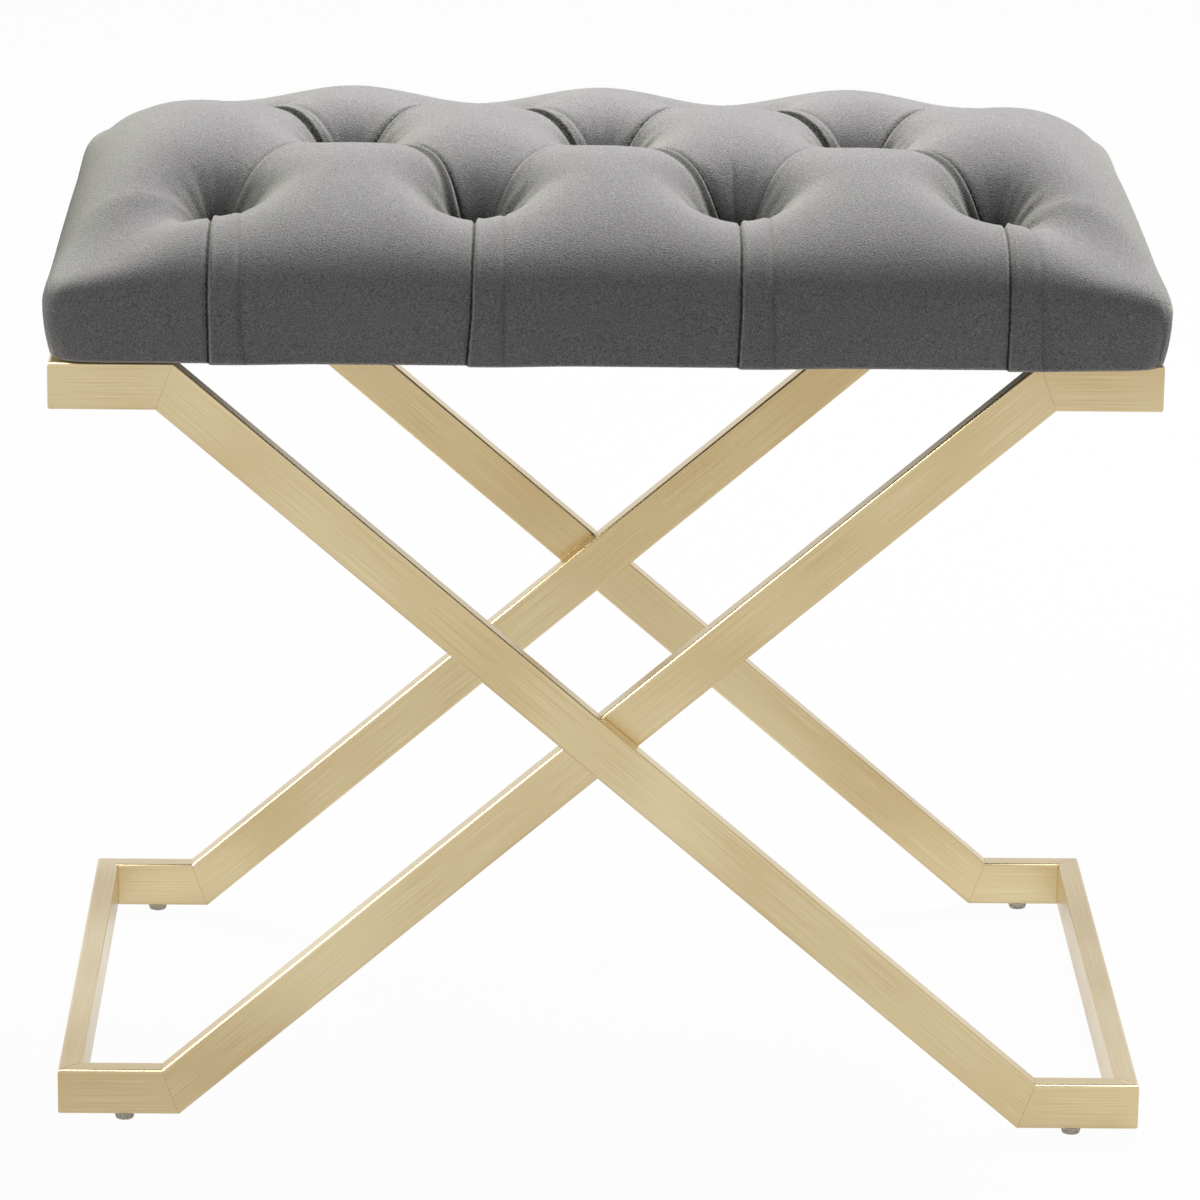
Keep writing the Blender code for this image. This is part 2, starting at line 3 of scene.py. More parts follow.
import math
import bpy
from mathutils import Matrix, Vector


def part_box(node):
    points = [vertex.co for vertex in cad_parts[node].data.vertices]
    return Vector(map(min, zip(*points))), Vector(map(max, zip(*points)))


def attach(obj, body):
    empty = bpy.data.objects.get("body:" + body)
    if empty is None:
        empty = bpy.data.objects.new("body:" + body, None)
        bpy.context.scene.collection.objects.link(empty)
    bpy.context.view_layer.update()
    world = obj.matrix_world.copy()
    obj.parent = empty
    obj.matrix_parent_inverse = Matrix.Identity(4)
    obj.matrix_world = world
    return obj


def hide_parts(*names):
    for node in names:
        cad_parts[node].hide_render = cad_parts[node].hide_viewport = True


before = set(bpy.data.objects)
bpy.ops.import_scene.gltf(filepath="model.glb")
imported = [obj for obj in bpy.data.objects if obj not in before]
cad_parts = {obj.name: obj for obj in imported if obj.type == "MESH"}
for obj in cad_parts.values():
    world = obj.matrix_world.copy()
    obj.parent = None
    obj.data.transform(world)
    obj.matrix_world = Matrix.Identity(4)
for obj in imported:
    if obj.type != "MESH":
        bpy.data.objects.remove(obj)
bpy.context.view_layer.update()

from types import SimpleNamespace

import bpy
import numpy as np
from mathutils import Matrix, Vector

MM = 0.001
TINY = 1e-12

# Places read from the frame, in metres
SEAT_LOW, SEAT_HIGH = (np.array(corner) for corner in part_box("velvet_cover"))
FIRST_TUFT_LOW, FIRST_TUFT_HIGH = (np.array(corner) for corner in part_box("tuft_button_01"))
BOARD_HIGH = np.array(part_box("seat_board")[1])
LINING_LOW, LINING_HIGH = (np.array(corner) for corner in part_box("dust_cover"))
FOOT_LOW, FOOT_HIGH = (np.array(corner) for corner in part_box("outer_foot_rail"))
TOP_HIGH = np.array(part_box("outer_top_rail")[1])

# Form of the seat
CLEARANCE = 0.3 * MM
SEAT_UNDERSIDE = SEAT_LOW[2]
SEAT_HEIGHT = 96.5 * MM
BOARD_TOP = BOARD_HIGH[2] + CLEARANCE
TUFT_COLUMNS = 4
TUFT_HALF_WIDTH = -(FIRST_TUFT_LOW[0] + FIRST_TUFT_HIGH[0]) / 2
TUFT_ROW = -(FIRST_TUFT_LOW[1] + FIRST_TUFT_HIGH[1]) / 2
TUFT_SPACING = 2 * TUFT_HALF_WIDTH / (TUFT_COLUMNS - 1)
ROLL_ENDS = SEAT_HIGH[0] - TUFT_HALF_WIDTH
ROLL_FRONT = SEAT_HIGH[1] - TUFT_ROW
SIDE_HEIGHT = 28 * MM
SIDE_DRAW = 3 * MM
EDGE_ROUND = 3 * MM
COVER_THICK = 1.6 * MM
COVER_RETURN = 14 * MM
CROWN_POWER = 2.3
END_POWER = 2.6
END_ROUND = 1.3
CORNER_DROP = 0.4
LEVELLING = 6
POWER_AT_EDGE = 10.0
POWER_ON_TOP = 2.6
EDGE_SQUARING = 5

# Rings round the lattice of tufts, each numbered where its stretch of the seat ends
WIDEST_RING = 1.0
SIDE_RING = 2.0
TURNED_RING = 2.4
RETURN_RING = 3.0
CUT_RING = 3.2
BOARD_RING = 3.4
HOLLOW_RING = 3.6

# Cells of the seat's grid: over half a tuft's spacing, and over each stretch of the rings
TUFT_CELLS = 84
ROLL_STEPS = 64
SIDE_STEPS = 16
EDGE_STEPS = 4
RETURN_STEPS = 3

# Tufting
FOLDED_PLEAT_DEPTH = 9 * MM
FOLDED_PLEAT_POWER = 0.75
THIN_PLEAT_DEPTH = 5.5 * MM
THIN_PLEAT_POWER = 1.2
FRONT_PLEAT_LEFT = 0.06
FRONT_PLEAT_LEAN = (1.0 * MM, -4.0 * MM, -2.0 * MM, -1.0 * MM)
FRONT_FOLD_BOW = (3.0 * MM, 11.0 * MM, 3.0 * MM, 5.0 * MM)
REAR_FOLD_BOW = 3.0 * MM
PIT_DEPTH = 44 * MM
PIT_REACH = 21.5 * MM
PIT_POWER = 1.25
# Painted shade in the pits: its strength and how fast it fades from their middle
PIT_SHADE = 4.0
PIT_SHADE_POWER = 2.3
SADDLE_DEPTH = 11 * MM
SADDLE_WIDTH = 30 * MM
SADDLE_BEGIN = 18 * MM
WRINKLE_HEIGHT = 0.9 * MM
WRINKLE_PLACE = 22 * MM
WRINKLE_WIDTH = 9 * MM
WRINKLE_WAVES = 11
WRINKLE_CYCLE = 4
WRINKLE_TURN = 2.3
CLUSTER_WAVES = 3
CLUSTER_TURN = 1.7
CREASED_TUFT = 2
CREASE_ANGLES = (math.radians(92), math.radians(116))
CREASE_DEPTH = 1.6 * MM
CREASE_WIDTH = 1.8 * MM
CREASE_PLACE = 26 * MM
CREASE_LENGTH = 14 * MM
# Painted shade in the creases
CREASE_SHADE = 0.3

# Folds along the pleats: a ridge or a groove is its height, its place across the fold and its width
FOLDED_BEGIN = (4 * MM, 24 * MM)
FOLDED_LINE_BEGIN = (0.0, 14 * MM)
FRONT_RIM = (2.0 * MM, -1.4 * MM, 1.5 * MM)
FRONT_TROUGH = (-1.7 * MM, -5.2 * MM, 2.4 * MM)
FRONT_GAP = (-3.0 * MM, 0.8 * MM, 1.1 * MM)
# Place of the painted shade line across a front fold
FRONT_LINE_PLACE = 1.0 * MM
REAR_ROLL = (1.6 * MM, 0.6 * MM, 2.4 * MM)
REAR_TROUGH = (-1.8 * MM, -4.6 * MM, 1.5 * MM)
REAR_FURROW = (-0.8 * MM, 4.6 * MM, 1.4 * MM)
# Place of the painted shade line across a rear fold
REAR_LINE_PLACE = -3.0 * MM
FOLDED_LAP = 1.5 * MM
FOLDED_LAP_PLACE = -3.4 * MM
THIN_BEGIN = (6 * MM, 26 * MM)
THIN_RIM = (0.9 * MM, 2.4 * MM, 1.6 * MM)
THIN_GAP = (-2.2 * MM, 0.0, 1.1 * MM)
THIN_AT_FRONT = 0.3
THIN_LAP = 0.6 * MM
THIN_LAP_PLACE = -0.4 * MM
LAP_STEP = 0.8 * MM
LAP_REACH = 11 * MM
UPRIGHT_BEGIN = (0.04, 0.16)
UPRIGHT_END = (2.35, 2.05)
UPRIGHT_RIM = (1.0 * MM, 2.2 * MM, 1.5 * MM)
UPRIGHT_GAP = (-2.6 * MM, 0.0, 1.0 * MM)
REAR_UPRIGHT_BEGIN = (0.55, 0.85)
BAND_HEIGHT = 0.9 * MM
BAND_STEP = (-0.2 * MM, 1.6 * MM)
BAND_WIDTH = 12 * MM
BAND_SPREAD = 2 * MM
BAND_FALL = 4 * MM
BAND_LINE = (-0.7 * MM, 3.5 * MM, 1.6 * MM)
EDGE_NOTCH = 0.9 * MM
NOTCH_STEP = (-0.5 * MM, 1.0 * MM)
NOTCH_FADE = (60 * MM, 10 * MM)
NOTCH_BEGIN = (1.5, SIDE_RING)

# Painted shade beside the folds, partly for flattened pile: its share, its place across the fold and its
# width
FRONT_PRESSED_SHADE = (0.5, -4.4 * MM, 2.0 * MM)
LAP_PRESSED_SHADE = (0.2, -3.0 * MM, 1.0 * MM)
FURROW_PRESSED_SHADE = (0.35, 4.4 * MM, 1.1 * MM)
BAND_PRESSED_SHADE = (0.25, 3.0 * MM, 1.6 * MM)

# Velvet: speckle and patches, a painted shade line in each fold, a painted highlight rim and a painted sheen
PILE_SPECKLE = 0.8 * MM
PILE_BUMP = 1.4 * MM
STROKED_PATCH = 90 * MM
LINE_WIDTH = 1.4 * MM
LINE_LIMIT = 20 * MM
LINE_WANDER = 0.4 * MM
LINE_WANDER_LENGTH = 2.2 * MM
RIM_HIGHLIGHT_PLACE = 1.8 * MM
RIM_HIGHLIGHT_WIDTH = 0.9 * MM
RIM_HIGHLIGHT_SHARE = 0.7
EDGE_ON_SHEEN = 2.15
PALENESS_LIMIT = 2.1

# Buttons, glides and lining
TURNED_SIDES = 48
TURNED_SHARP_ANGLE = math.radians(40)
BUTTON_DOME = 4 * MM
BUTTON_DOME_TURN = 0.94 * math.pi / 2
BUTTON_DOME_POINTS = 9
BUTTON_RIM = 1.2 * MM
BUTTON_UNDERSIDE_SHARE = 0.93
STRAND_RADIUS = 1.2 * MM
GLIDE_HEIGHT = 4 * MM
GLIDE_FOOT_RADIUS = 5 * MM
GLIDE_STEM_RADIUS = 2.2 * MM
GLIDE_ROUND = 0.7 * MM
GLIDE_ROUND_POINTS = 6
LINING_SAG = 1.5 * MM
LINING_POINTS = 49

# Base of tube
TUBE_THIN = FOOT_HIGH[0] - FOOT_LOW[0]
TUBE_TALL = FOOT_HIGH[2] - FOOT_LOW[2]
TUBE_CORNER = 1.7 * MM
TUBE_CORNER_STEPS = 6
TUBE_CORNER_SUPPORT = 0.6 * MM
STUB_REACH = 62.2 * MM
SEAM_BEVEL = 0.08 * MM
SEAM_SUPPORT = 4 * SEAM_BEVEL
SEAM_GAP = 0.02 * MM
LOOP_GAP = 0.3 * MM
STREAK_LENGTH = 60 * MM
STREAK_WIDTH = 0.5 * MM
GOLD_PATCH = 120 * MM

# Camera, fitted to the corners of the base
IMAGE_PIXELS = 1200
FOCAL_PIXELS = 6274.5
SENSOR_MM = 36.0
CAMERA_PLACE = Vector((-0.0637, -3.4385, 1.2689))
CAMERA_PITCH = 0.2881
CAMERA_YAW = -0.0188
CAMERA_ROLL = 0.0134

# White studio
FLOOR_HALF = 20.0
FLOOR_WHITE_SEEN = 0.72
FLOOR_WHITE_MORE = 0.25
FILL_LIGHT = 0.12
HORIZON_LIGHT = 0.95
OVERHEAD_LIGHT = 0.25

# The mix node has a set of sockets for each kind of value, so those for colours go by number
MIX_FIRST = 6
MIX_SECOND = 7
MIX_RESULT = 2

# Span that most values of a noise lie in
NOISE_SPAN = {"From Min": 0.3, "From Max": 0.7}


def linear(hex_colour):
    """Linear RGBA of an sRGB hex colour: the sRGB curve undone channel by channel."""
    parts = np.array([int(hex_colour[at:at + 2], 16) for at in (1, 3, 5)]) / 255
    curve = np.where(parts <= 0.04045, parts / 12.92, ((parts + 0.055) / 1.055) ** 2.4)
    return (*curve.tolist(), 1.0)


def add_node(tree, kind, inputs=None, **settings):
    """Add one node: settings are its own properties, inputs are socket values or outputs to link."""
    added = tree.nodes.new(kind)
    for name, value in settings.items():
        setattr(added, name, value)
    for name, value in (inputs or {}).items():
        socket = added.inputs[name]
        if isinstance(value, bpy.types.NodeSocket):
            tree.links.new(value, socket)
        else:
            socket.default_value = value
    return added


def new_material(name):
    """Empty node material with its output, returned as (material, tree, output)."""
    material = bpy.data.materials.new(name)
    material.use_nodes = True
    tree = material.node_tree
    tree.nodes.clear()
    output = add_node(tree, "ShaderNodeOutputMaterial")
    return material, tree, output


def cut_pile_velvet():
    """Polyester velvet, cut pile: dark seen face on, and paler where the pile is seen edge on by a painted
    sheen.

    The pile gives a speckle, drawn coarser than the real one so that it shows, and cloudy patches where it
    has been stroked. The seat's attributes place a painted shade line in each fold, a painted highlight on
    the rim beside a folded pleat, and painted shade in the pits, creases and troughs, partly for flattened
    pile.
    """
    material, tree, output = new_material("cut_pile_velvet")
    place = add_node(tree, "ShaderNodeTexCoord").outputs["Object"]
    pile = add_node(tree, "ShaderNodeTexNoise", {"Vector": place, "Scale": 1 / PILE_SPECKLE, "Detail": 2.0})
    tips = add_node(tree, "ShaderNodeMapRange", {"Value": pile.outputs["Fac"], **NOISE_SPAN})
    speckle = add_node(tree, "ShaderNodeMix", {
        "Factor": tips.outputs[0], MIX_FIRST: linear("#6b686d"), MIX_SECOND: linear("#adaaaf"),
    }, data_type="RGBA")
    stroked = add_node(tree, "ShaderNodeTexNoise", {
        "Vector": place, "Scale": 1 / STROKED_PATCH, "Detail": 2.0,
    })
    cloud = add_node(tree, "ShaderNodeMapRange", {
        "Value": stroked.outputs["Fac"], **NOISE_SPAN, "To Min": 0.94, "To Max": 1.06,
    })

    # Painted shade: a dark line in each fold, wandering a little, and painted shade in the pits, creases and
    # troughs, partly for flattened pile
    away = add_node(tree, "ShaderNodeAttribute", attribute_name="from_fold")
    deep = add_node(tree, "ShaderNodeAttribute", attribute_name="fold_shade_share")
    pressed_shade = add_node(tree, "ShaderNodeAttribute", attribute_name="pressed_shade")
    wander = add_node(tree, "ShaderNodeTexNoise", {
        "Vector": place, "Scale": 1 / LINE_WANDER_LENGTH, "Detail": 1.0,
    })
    wander = add_node(tree, "ShaderNodeMapRange", {
        "Value": wander.outputs["Fac"], **NOISE_SPAN, "To Min": -LINE_WANDER, "To Max": LINE_WANDER,
    })
    aside = add_node(tree, "ShaderNodeMath", {0: away.outputs["Fac"], 1: wander.outputs[0]}, operation="ADD")
    aside = add_node(tree, "ShaderNodeMath", {0: aside.outputs[0]}, operation="ABSOLUTE")
    line = add_node(tree, "ShaderNodeMapRange", {
        "Value": aside.outputs[0], "From Max": LINE_WIDTH, "To Min": 1.0, "To Max": 0.0,
    }, interpolation_type="SMOOTHSTEP")
    dark = add_node(tree, "ShaderNodeMath", {
        0: line.outputs[0], 1: deep.outputs["Fac"], 2: pressed_shade.outputs["Fac"],
    }, operation="MULTIPLY_ADD")
    shade = add_node(tree, "ShaderNodeMapRange", {"Value": dark.outputs[0], "To Min": 1.0, "To Max": 0.08})

    # Painted highlight on the rim beside a folded pleat
    rim_highlight_share = add_node(tree, "ShaderNodeAttribute", attribute_name="rim_highlight_share")
    beside = add_node(tree, "ShaderNodeMath", {0: away.outputs["Fac"], 1: RIM_HIGHLIGHT_PLACE}, operation="ADD")
    beside = add_node(tree, "ShaderNodeMath", {0: beside.outputs[0]}, operation="ABSOLUTE")
    rim = add_node(tree, "ShaderNodeMapRange", {
        "Value": beside.outputs[0], "From Max": RIM_HIGHLIGHT_WIDTH, "To Min": 1.0, "To Max": 0.0,
    }, interpolation_type="SMOOTHSTEP")
    edge = add_node(tree, "ShaderNodeMath", {
        0: rim.outputs[0], 1: rim_highlight_share.outputs["Fac"], 2: 1.0,
    }, operation="MULTIPLY_ADD")

    # Painted sheen: the colour grows paler where the pile is seen edge on
    facing = add_node(tree, "ShaderNodeLayerWeight", {"Blend": 0.5})
    edge_on_sheen = add_node(tree, "ShaderNodeMapRange", {
        "Value": facing.outputs["Facing"],
        "From Min": 0.18, "From Max": 0.8, "To Min": 1.0, "To Max": EDGE_ON_SHEEN,
    })
    value = add_node(tree, "ShaderNodeMath", {0: cloud.outputs[0], 1: shade.outputs[0]}, operation="MULTIPLY")
    value = add_node(tree, "ShaderNodeMath", {0: value.outputs[0], 1: edge.outputs[0]}, operation="MULTIPLY")
    value = add_node(tree, "ShaderNodeMath", {
        0: value.outputs[0], 1: edge_on_sheen.outputs[0],
    }, operation="MULTIPLY")
    value = add_node(tree, "ShaderNodeMath", {0: value.outputs[0], 1: PALENESS_LIMIT}, operation="MINIMUM")
    colour = add_node(tree, "ShaderNodeHueSaturation", {
        "Color": speckle.outputs[MIX_RESULT], "Value": value.outputs[0],
    })
    bump = add_node(tree, "ShaderNodeBump", {
        "Height": pile.outputs["Fac"], "Strength": 1.0, "Distance": PILE_BUMP,
    })
    shader = add_node(tree, "ShaderNodeBsdfPrincipled", {
        "Base Color": colour.outputs[0], "Roughness": 0.85, "Specular IOR Level": 0.15,
        "Sheen Weight": 1.0, "Sheen Roughness": 0.4, "Sheen Tint": linear("#eff1d6"),
        "Normal": bump.outputs[0],
    })
    tree.links.new(shader.outputs[0], output.inputs["Surface"])
    return material


def brushed_gold_steel():
    """Stainless steel with a pale gold coating, brushed along each tube: fine streaks that blur reflections.

    The streaks are drawn wider than the real ones so that they show, and the gold varies in broad patches.
    """
    material, tree, output = new_material("brushed_gold_steel")
    along = add_node(tree, "ShaderNodeUVMap", uv_map="along_and_round").outputs["UV"]
    stretch = add_node(tree, "ShaderNodeMapping", {
        "Vector": along, "Scale": (1 / STREAK_LENGTH, 1 / STREAK_WIDTH, 1.0),
    })
    streak = add_node(tree, "ShaderNodeTexNoise", {"Vector": stretch.outputs[0], "Scale": 1.0, "Detail": 4.0})
    place = add_node(tree, "ShaderNodeTexCoord").outputs["Object"]
    cloud = add_node(tree, "ShaderNodeTexNoise", {"Vector": place, "Scale": 1 / GOLD_PATCH, "Detail": 1.0})
    blend = add_node(tree, "ShaderNodeMath", {
        0: streak.outputs["Fac"], 1: cloud.outputs["Fac"],
    }, operation="ADD")
    blend = add_node(tree, "ShaderNodeMapRange", {
        "Value": blend.outputs[0], "From Min": 0.7, "From Max": 1.3,
    })
    colour = add_node(tree, "ShaderNodeMix", {
        "Factor": blend.outputs[0], MIX_FIRST: linear("#cdb27f"), MIX_SECOND: linear("#ebdaaf"),
    }, data_type="RGBA")
    rough = add_node(tree, "ShaderNodeMapRange", {
        "Value": streak.outputs["Fac"], "To Min": 0.26, "To Max": 0.38,
    })
    bump = add_node(tree, "ShaderNodeBump", {
        "Height": streak.outputs["Fac"], "Strength": 0.06, "Distance": 0.05 * MM,
    })
    shader = add_node(tree, "ShaderNodeBsdfPrincipled", {
        "Base Color": colour.outputs[MIX_RESULT], "Metallic": 1.0, "Roughness": rough.outputs[0],
        "Coat Weight": 0.6, "Coat Roughness": 0.3, "Normal": bump.outputs[0],
    })
    tree.links.new(shader.outputs[0], output.inputs["Surface"])
    return material


def plain_patterned(name, pale, dark, grain, roughness, bump_depth, metallic=0.0, clear=0.0):
    """Material with two close colours mixed by a noise of a real grain size, which also drives a bump."""
    material, tree, output = new_material(name)
    place = add_node(tree, "ShaderNodeTexCoord").outputs["Object"]
    scale = tuple(1 / size for size in grain)
    stretch = add_node(tree, "ShaderNodeMapping", {"Vector": place, "Scale": scale})
    pattern = add_node(tree, "ShaderNodeTexNoise", {
        "Vector": stretch.outputs[0], "Scale": 1.0, "Detail": 3.0,
    })
    colour = add_node(tree, "ShaderNodeMix", {
        "Factor": pattern.outputs["Fac"], MIX_FIRST: linear(dark), MIX_SECOND: linear(pale),
    }, data_type="RGBA")
    bump = add_node(tree, "ShaderNodeBump", {
        "Height": pattern.outputs["Fac"], "Strength": 0.3, "Distance": bump_depth,
    })
    shader = add_node(tree, "ShaderNodeBsdfPrincipled", {
        "Base Color": colour.outputs[MIX_RESULT], "Metallic": metallic, "Roughness": roughness,
        "Transmission Weight": clear, "Normal": bump.outputs[0],
    })
    tree.links.new(shader.outputs[0], output.inputs["Surface"])
    return material


def grid_faces(rows, columns, wrap):
    """Corner numbers of every cell of a grid, the last column joined to the first if wrap."""
    across = np.arange(columns if wrap else columns - 1)
    down = np.arange(rows - 1)[:, None] * columns
    first = down + across
    second = down + (across + 1) % columns
    return np.stack([first, second, second + columns, first + columns], axis=-1).reshape(-1, 4)


def ring_fan(ring, centre, outward):
    """Triangles from a closed ring of corner numbers to one centre corner, turned over if not outward."""
    following = np.roll(ring, -1)
    fan = np.stack([ring, following, np.full(len(ring), centre)], axis=-1)
    return fan if outward else fan[:, ::-1]


def closed_rings(rings):
    """Points and faces of a skin over a stack of rings, closed by a fan to the middle of each end ring."""
    rows, columns, _ = rings.shape
    points = np.vstack([rings.reshape(-1, 3), rings[0].mean(axis=0), rings[-1].mean(axis=0)])
    first_ring = np.arange(columns)
    last_ring = first_ring + (rows - 1) * columns
    first_fan = ring_fan(first_ring, rows * columns, False)
    last_fan = ring_fan(last_ring, rows * columns + 1, True)
    return points, [*grid_faces(rows, columns, True), *first_fan, *last_fan]


def piece_from(name, points, faces, material, replaced):
    """Mesh object at the origin from points and faces, riding on the bench in place of the CAD nodes."""
    mesh = bpy.data.meshes.new(name)
    mesh.from_pydata(points.tolist(), [], [face.tolist() for face in faces])
    mesh.validate()
    mesh.shade_smooth()
    mesh.materials.append(material)
    piece = bpy.data.objects.new(name, mesh)
    bpy.context.scene.collection.objects.link(piece)
    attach(piece, "root")
    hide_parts(*replaced)
    return piece


def rounded_rectangle(inset):
    """Outline of the tube less an inset: four quarter arcs, each with a support point before and after it."""
    radius = TUBE_CORNER - inset
    turns = np.linspace(0, math.pi / 2, TUBE_CORNER_STEPS + 1)
    reach = np.array([TUBE_THIN - 2 * inset, TUBE_TALL - 2 * inset]) / 2 - radius
    corners = []
    for quarter, sides in enumerate(((1, 1), (-1, 1), (-1, -1), (1, -1))):
        angles = turns + quarter * math.pi / 2
        arc = reach * sides + radius * np.stack([np.cos(angles), np.sin(angles)], axis=-1)
        before = np.array([np.sin(angles[0]), -np.cos(angles[0])])
        after = np.array([-np.sin(angles[-1]), np.cos(angles[-1])])
        first = arc[0] + TUBE_CORNER_SUPPORT * before
        last = arc[-1] + TUBE_CORNER_SUPPORT * after
        corners.append(np.vstack([first, arc, last]))
    return np.vstack(corners)


def map_along(piece, lengths, outline):
    """Map of a tube's sides in metres: the length along it, and the way round its outline."""
    rows, columns = lengths.shape
    step = np.linalg.norm(np.roll(outline, -1, axis=0) - outline, axis=1)
    round_at = np.concatenate([[0.0], np.cumsum(step)])
    column = np.tile(np.arange(columns), rows - 1)
    row = np.repeat(np.arange(rows - 1), columns)
    corner_rows = np.stack([row, row, row + 1, row + 1], axis=-1)
    corner_columns = np.stack([column, column + 1, column + 1, column], axis=-1)
    side_map = np.stack([lengths[corner_rows, corner_columns % columns], round_at[corner_columns]], axis=-1)
    whole_map = np.zeros((len(piece.data.loops), 2))
    whole_map[:side_map.size // 2] = side_map.reshape(-1, 2)
    layer = piece.data.uv_layers.new(name="along_and_round")
    layer.data.foreach_set("uv", whole_map.ravel())


def mitred_tube(name, start, end, before, after, material):
    """Tube from start to end: a rounded rectangle carried along the line and sheared onto its mitre planes.

    Each end has a small bevel, so that a fine seam shows between two tubes.
    """
    length = np.linalg.norm(end - start)
    run = (end - start) / length
    thin = np.cross(run, (0.0, 0.0, 1.0))
    thin = thin / np.linalg.norm(thin)
    tall = np.cross(run, thin)
    full = rounded_rectangle(0.0)
    bevelled = rounded_rectangle(SEAM_BEVEL)
    stations = [(bevelled, SEAM_GAP), (full, SEAM_GAP + SEAM_BEVEL), (full, SEAM_GAP + SEAM_SUPPORT)]
    rings = []
    lengths = []
    for lean, inward, base in ((before + run, 1.0, 0.0), (run + after, -1.0, length)):
        lean = lean / np.linalg.norm(lean)
        for outline, back in stations if inward > 0 else reversed(stations):
            shear = outline[:, 0] * (lean @ thin) + outline[:, 1] * (lean @ tall)
            along = base + (inward * back - shear) / (lean @ run)
            rings.append(start + outline[:, :1] * thin + outline[:, 1:] * tall + along[:, None] * run)
            lengths.append(along)
    points, faces = closed_rings(np.array(rings))
    piece = piece_from(name + "_brushed", points, faces, material, [name])
    map_along(piece, np.array(lengths), full)


def base_loop(name, foot_side, inward, material):
    """One closed loop of eight mitred tubes, with its feet on foot_side."""
    x_rail = FOOT_HIGH[0] - TUBE_THIN / 2
    x_kink = FOOT_HIGH[0] - STUB_REACH
    y_front = FOOT_LOW[1] + TUBE_THIN / 2 + inward
    z_top = TOP_HIGH[2] - TUBE_TALL / 2
    z_foot = FOOT_LOW[2] + TUBE_TALL / 2
    half = [
        (-foot_side * x_rail, z_top),
        (-foot_side * x_kink, z_top),
        (foot_side * x_kink, z_foot),
        (foot_side * x_rail, z_foot),
    ]
    path = np.array([(x, y_front, z) for x, z in half] + [(x, -y_front, z) for x, z in reversed(half)])
    runs = [
        "front_top_stub", "front_leg", "front_foot_stub", "foot_rail",
        "rear_foot_stub", "rear_leg", "rear_top_stub", "top_rail",
    ]
    ways = np.roll(path, -1, axis=0) - path
    ways = ways / np.linalg.norm(ways, axis=1, keepdims=True)
    for step, run in enumerate(runs):
        following = (step + 1) % len(path)
        mitred_tube(f"{name}_{run}", path[step], path[following], ways[step - 1], ways[following], material)


def turned_piece(name, profile, centre, material, replaced):
    """Turned piece: a profile of radius and height carried round a vertical axis, with its poles closed."""
    angles = np.linspace(0, 2 * math.pi, TURNED_SIDES, endpoint=False)
    radius = profile[:, :1]
    x = centre[0] + radius * np.cos(angles)
    y = centre[1] + radius * np.sin(angles)
    z = np.repeat(profile[:, 1:], TURNED_SIDES, axis=1)
    points, faces = closed_rings(np.stack([x, y, z], axis=-1))
    piece = piece_from(name, points, faces, material, replaced)
    piece.data.set_sharp_from_angle(angle=TURNED_SHARP_ANGLE)


def portion(value, low, high):
    """Share of the way from low to high, held between 0 and 1."""
    return np.clip((value - low) / (high - low), 0, 1)


def ramp(value, low, high):
    """Smooth step from 0 at low to 1 at high."""
    part = portion(value, low, high)
    return part * part * (3 - 2 * part)


def bell(distance, centre, width):
    """Bell curve of a signed distance: 1 at the centre, falling off over the width."""
    return np.exp(-((distance - centre) / width) ** 2)


def ridge(across, section):
    """Ridge along a fold, or a groove: its height times a bell curve of the distance from its place."""
    height, place, width = section
    return height * bell(across, place, width)


def cushion_axis(half, cells, ring_steps):
    """One axis of the seat's grid: places clamped to the lattice, and the signed ring outside it."""
    inside = np.linspace(-half, half, cells + 1)
    clamped = np.concatenate([np.full(len(ring_steps), -half), inside, np.full(len(ring_steps), half)])
    outside = np.concatenate([-ring_steps[::-1], np.zeros(cells + 1), ring_steps])
    return clamped, outside


def ring_sides(ring):
    """Inset and fall below the widest ring.

    Down the side, round the bottom edge and in under the board, then up the cut edge of the cover, out to
    the board's edge and up that edge, so that the board lies in a hollow.
    """
    down = portion(ring, WIDEST_RING, SIDE_RING)
    under = portion(ring, SIDE_RING, TURNED_RING) * math.pi / 2
    back = portion(ring, TURNED_RING, RETURN_RING)
    cut_edge = portion(ring, RETURN_RING, CUT_RING)
    out = portion(ring, CUT_RING, BOARD_RING)
    board_edge = portion(ring, BOARD_RING, HOLLOW_RING)
    board_inset = SEAT_HIGH[0] - BOARD_HIGH[0] - CLEARANCE
    inset = SIDE_DRAW * down ** 2 + EDGE_ROUND * (1 - np.cos(under)) + COVER_RETURN * back
    inset = inset + (board_inset - SIDE_DRAW - EDGE_ROUND - COVER_RETURN) * out
    fall = (SIDE_HEIGHT - EDGE_ROUND) * down + EDGE_ROUND * np.sin(under)
    fall = fall - COVER_THICK * cut_edge - (BOARD_TOP - SEAT_UNDERSIDE - COVER_THICK) * board_edge
    return inset, fall


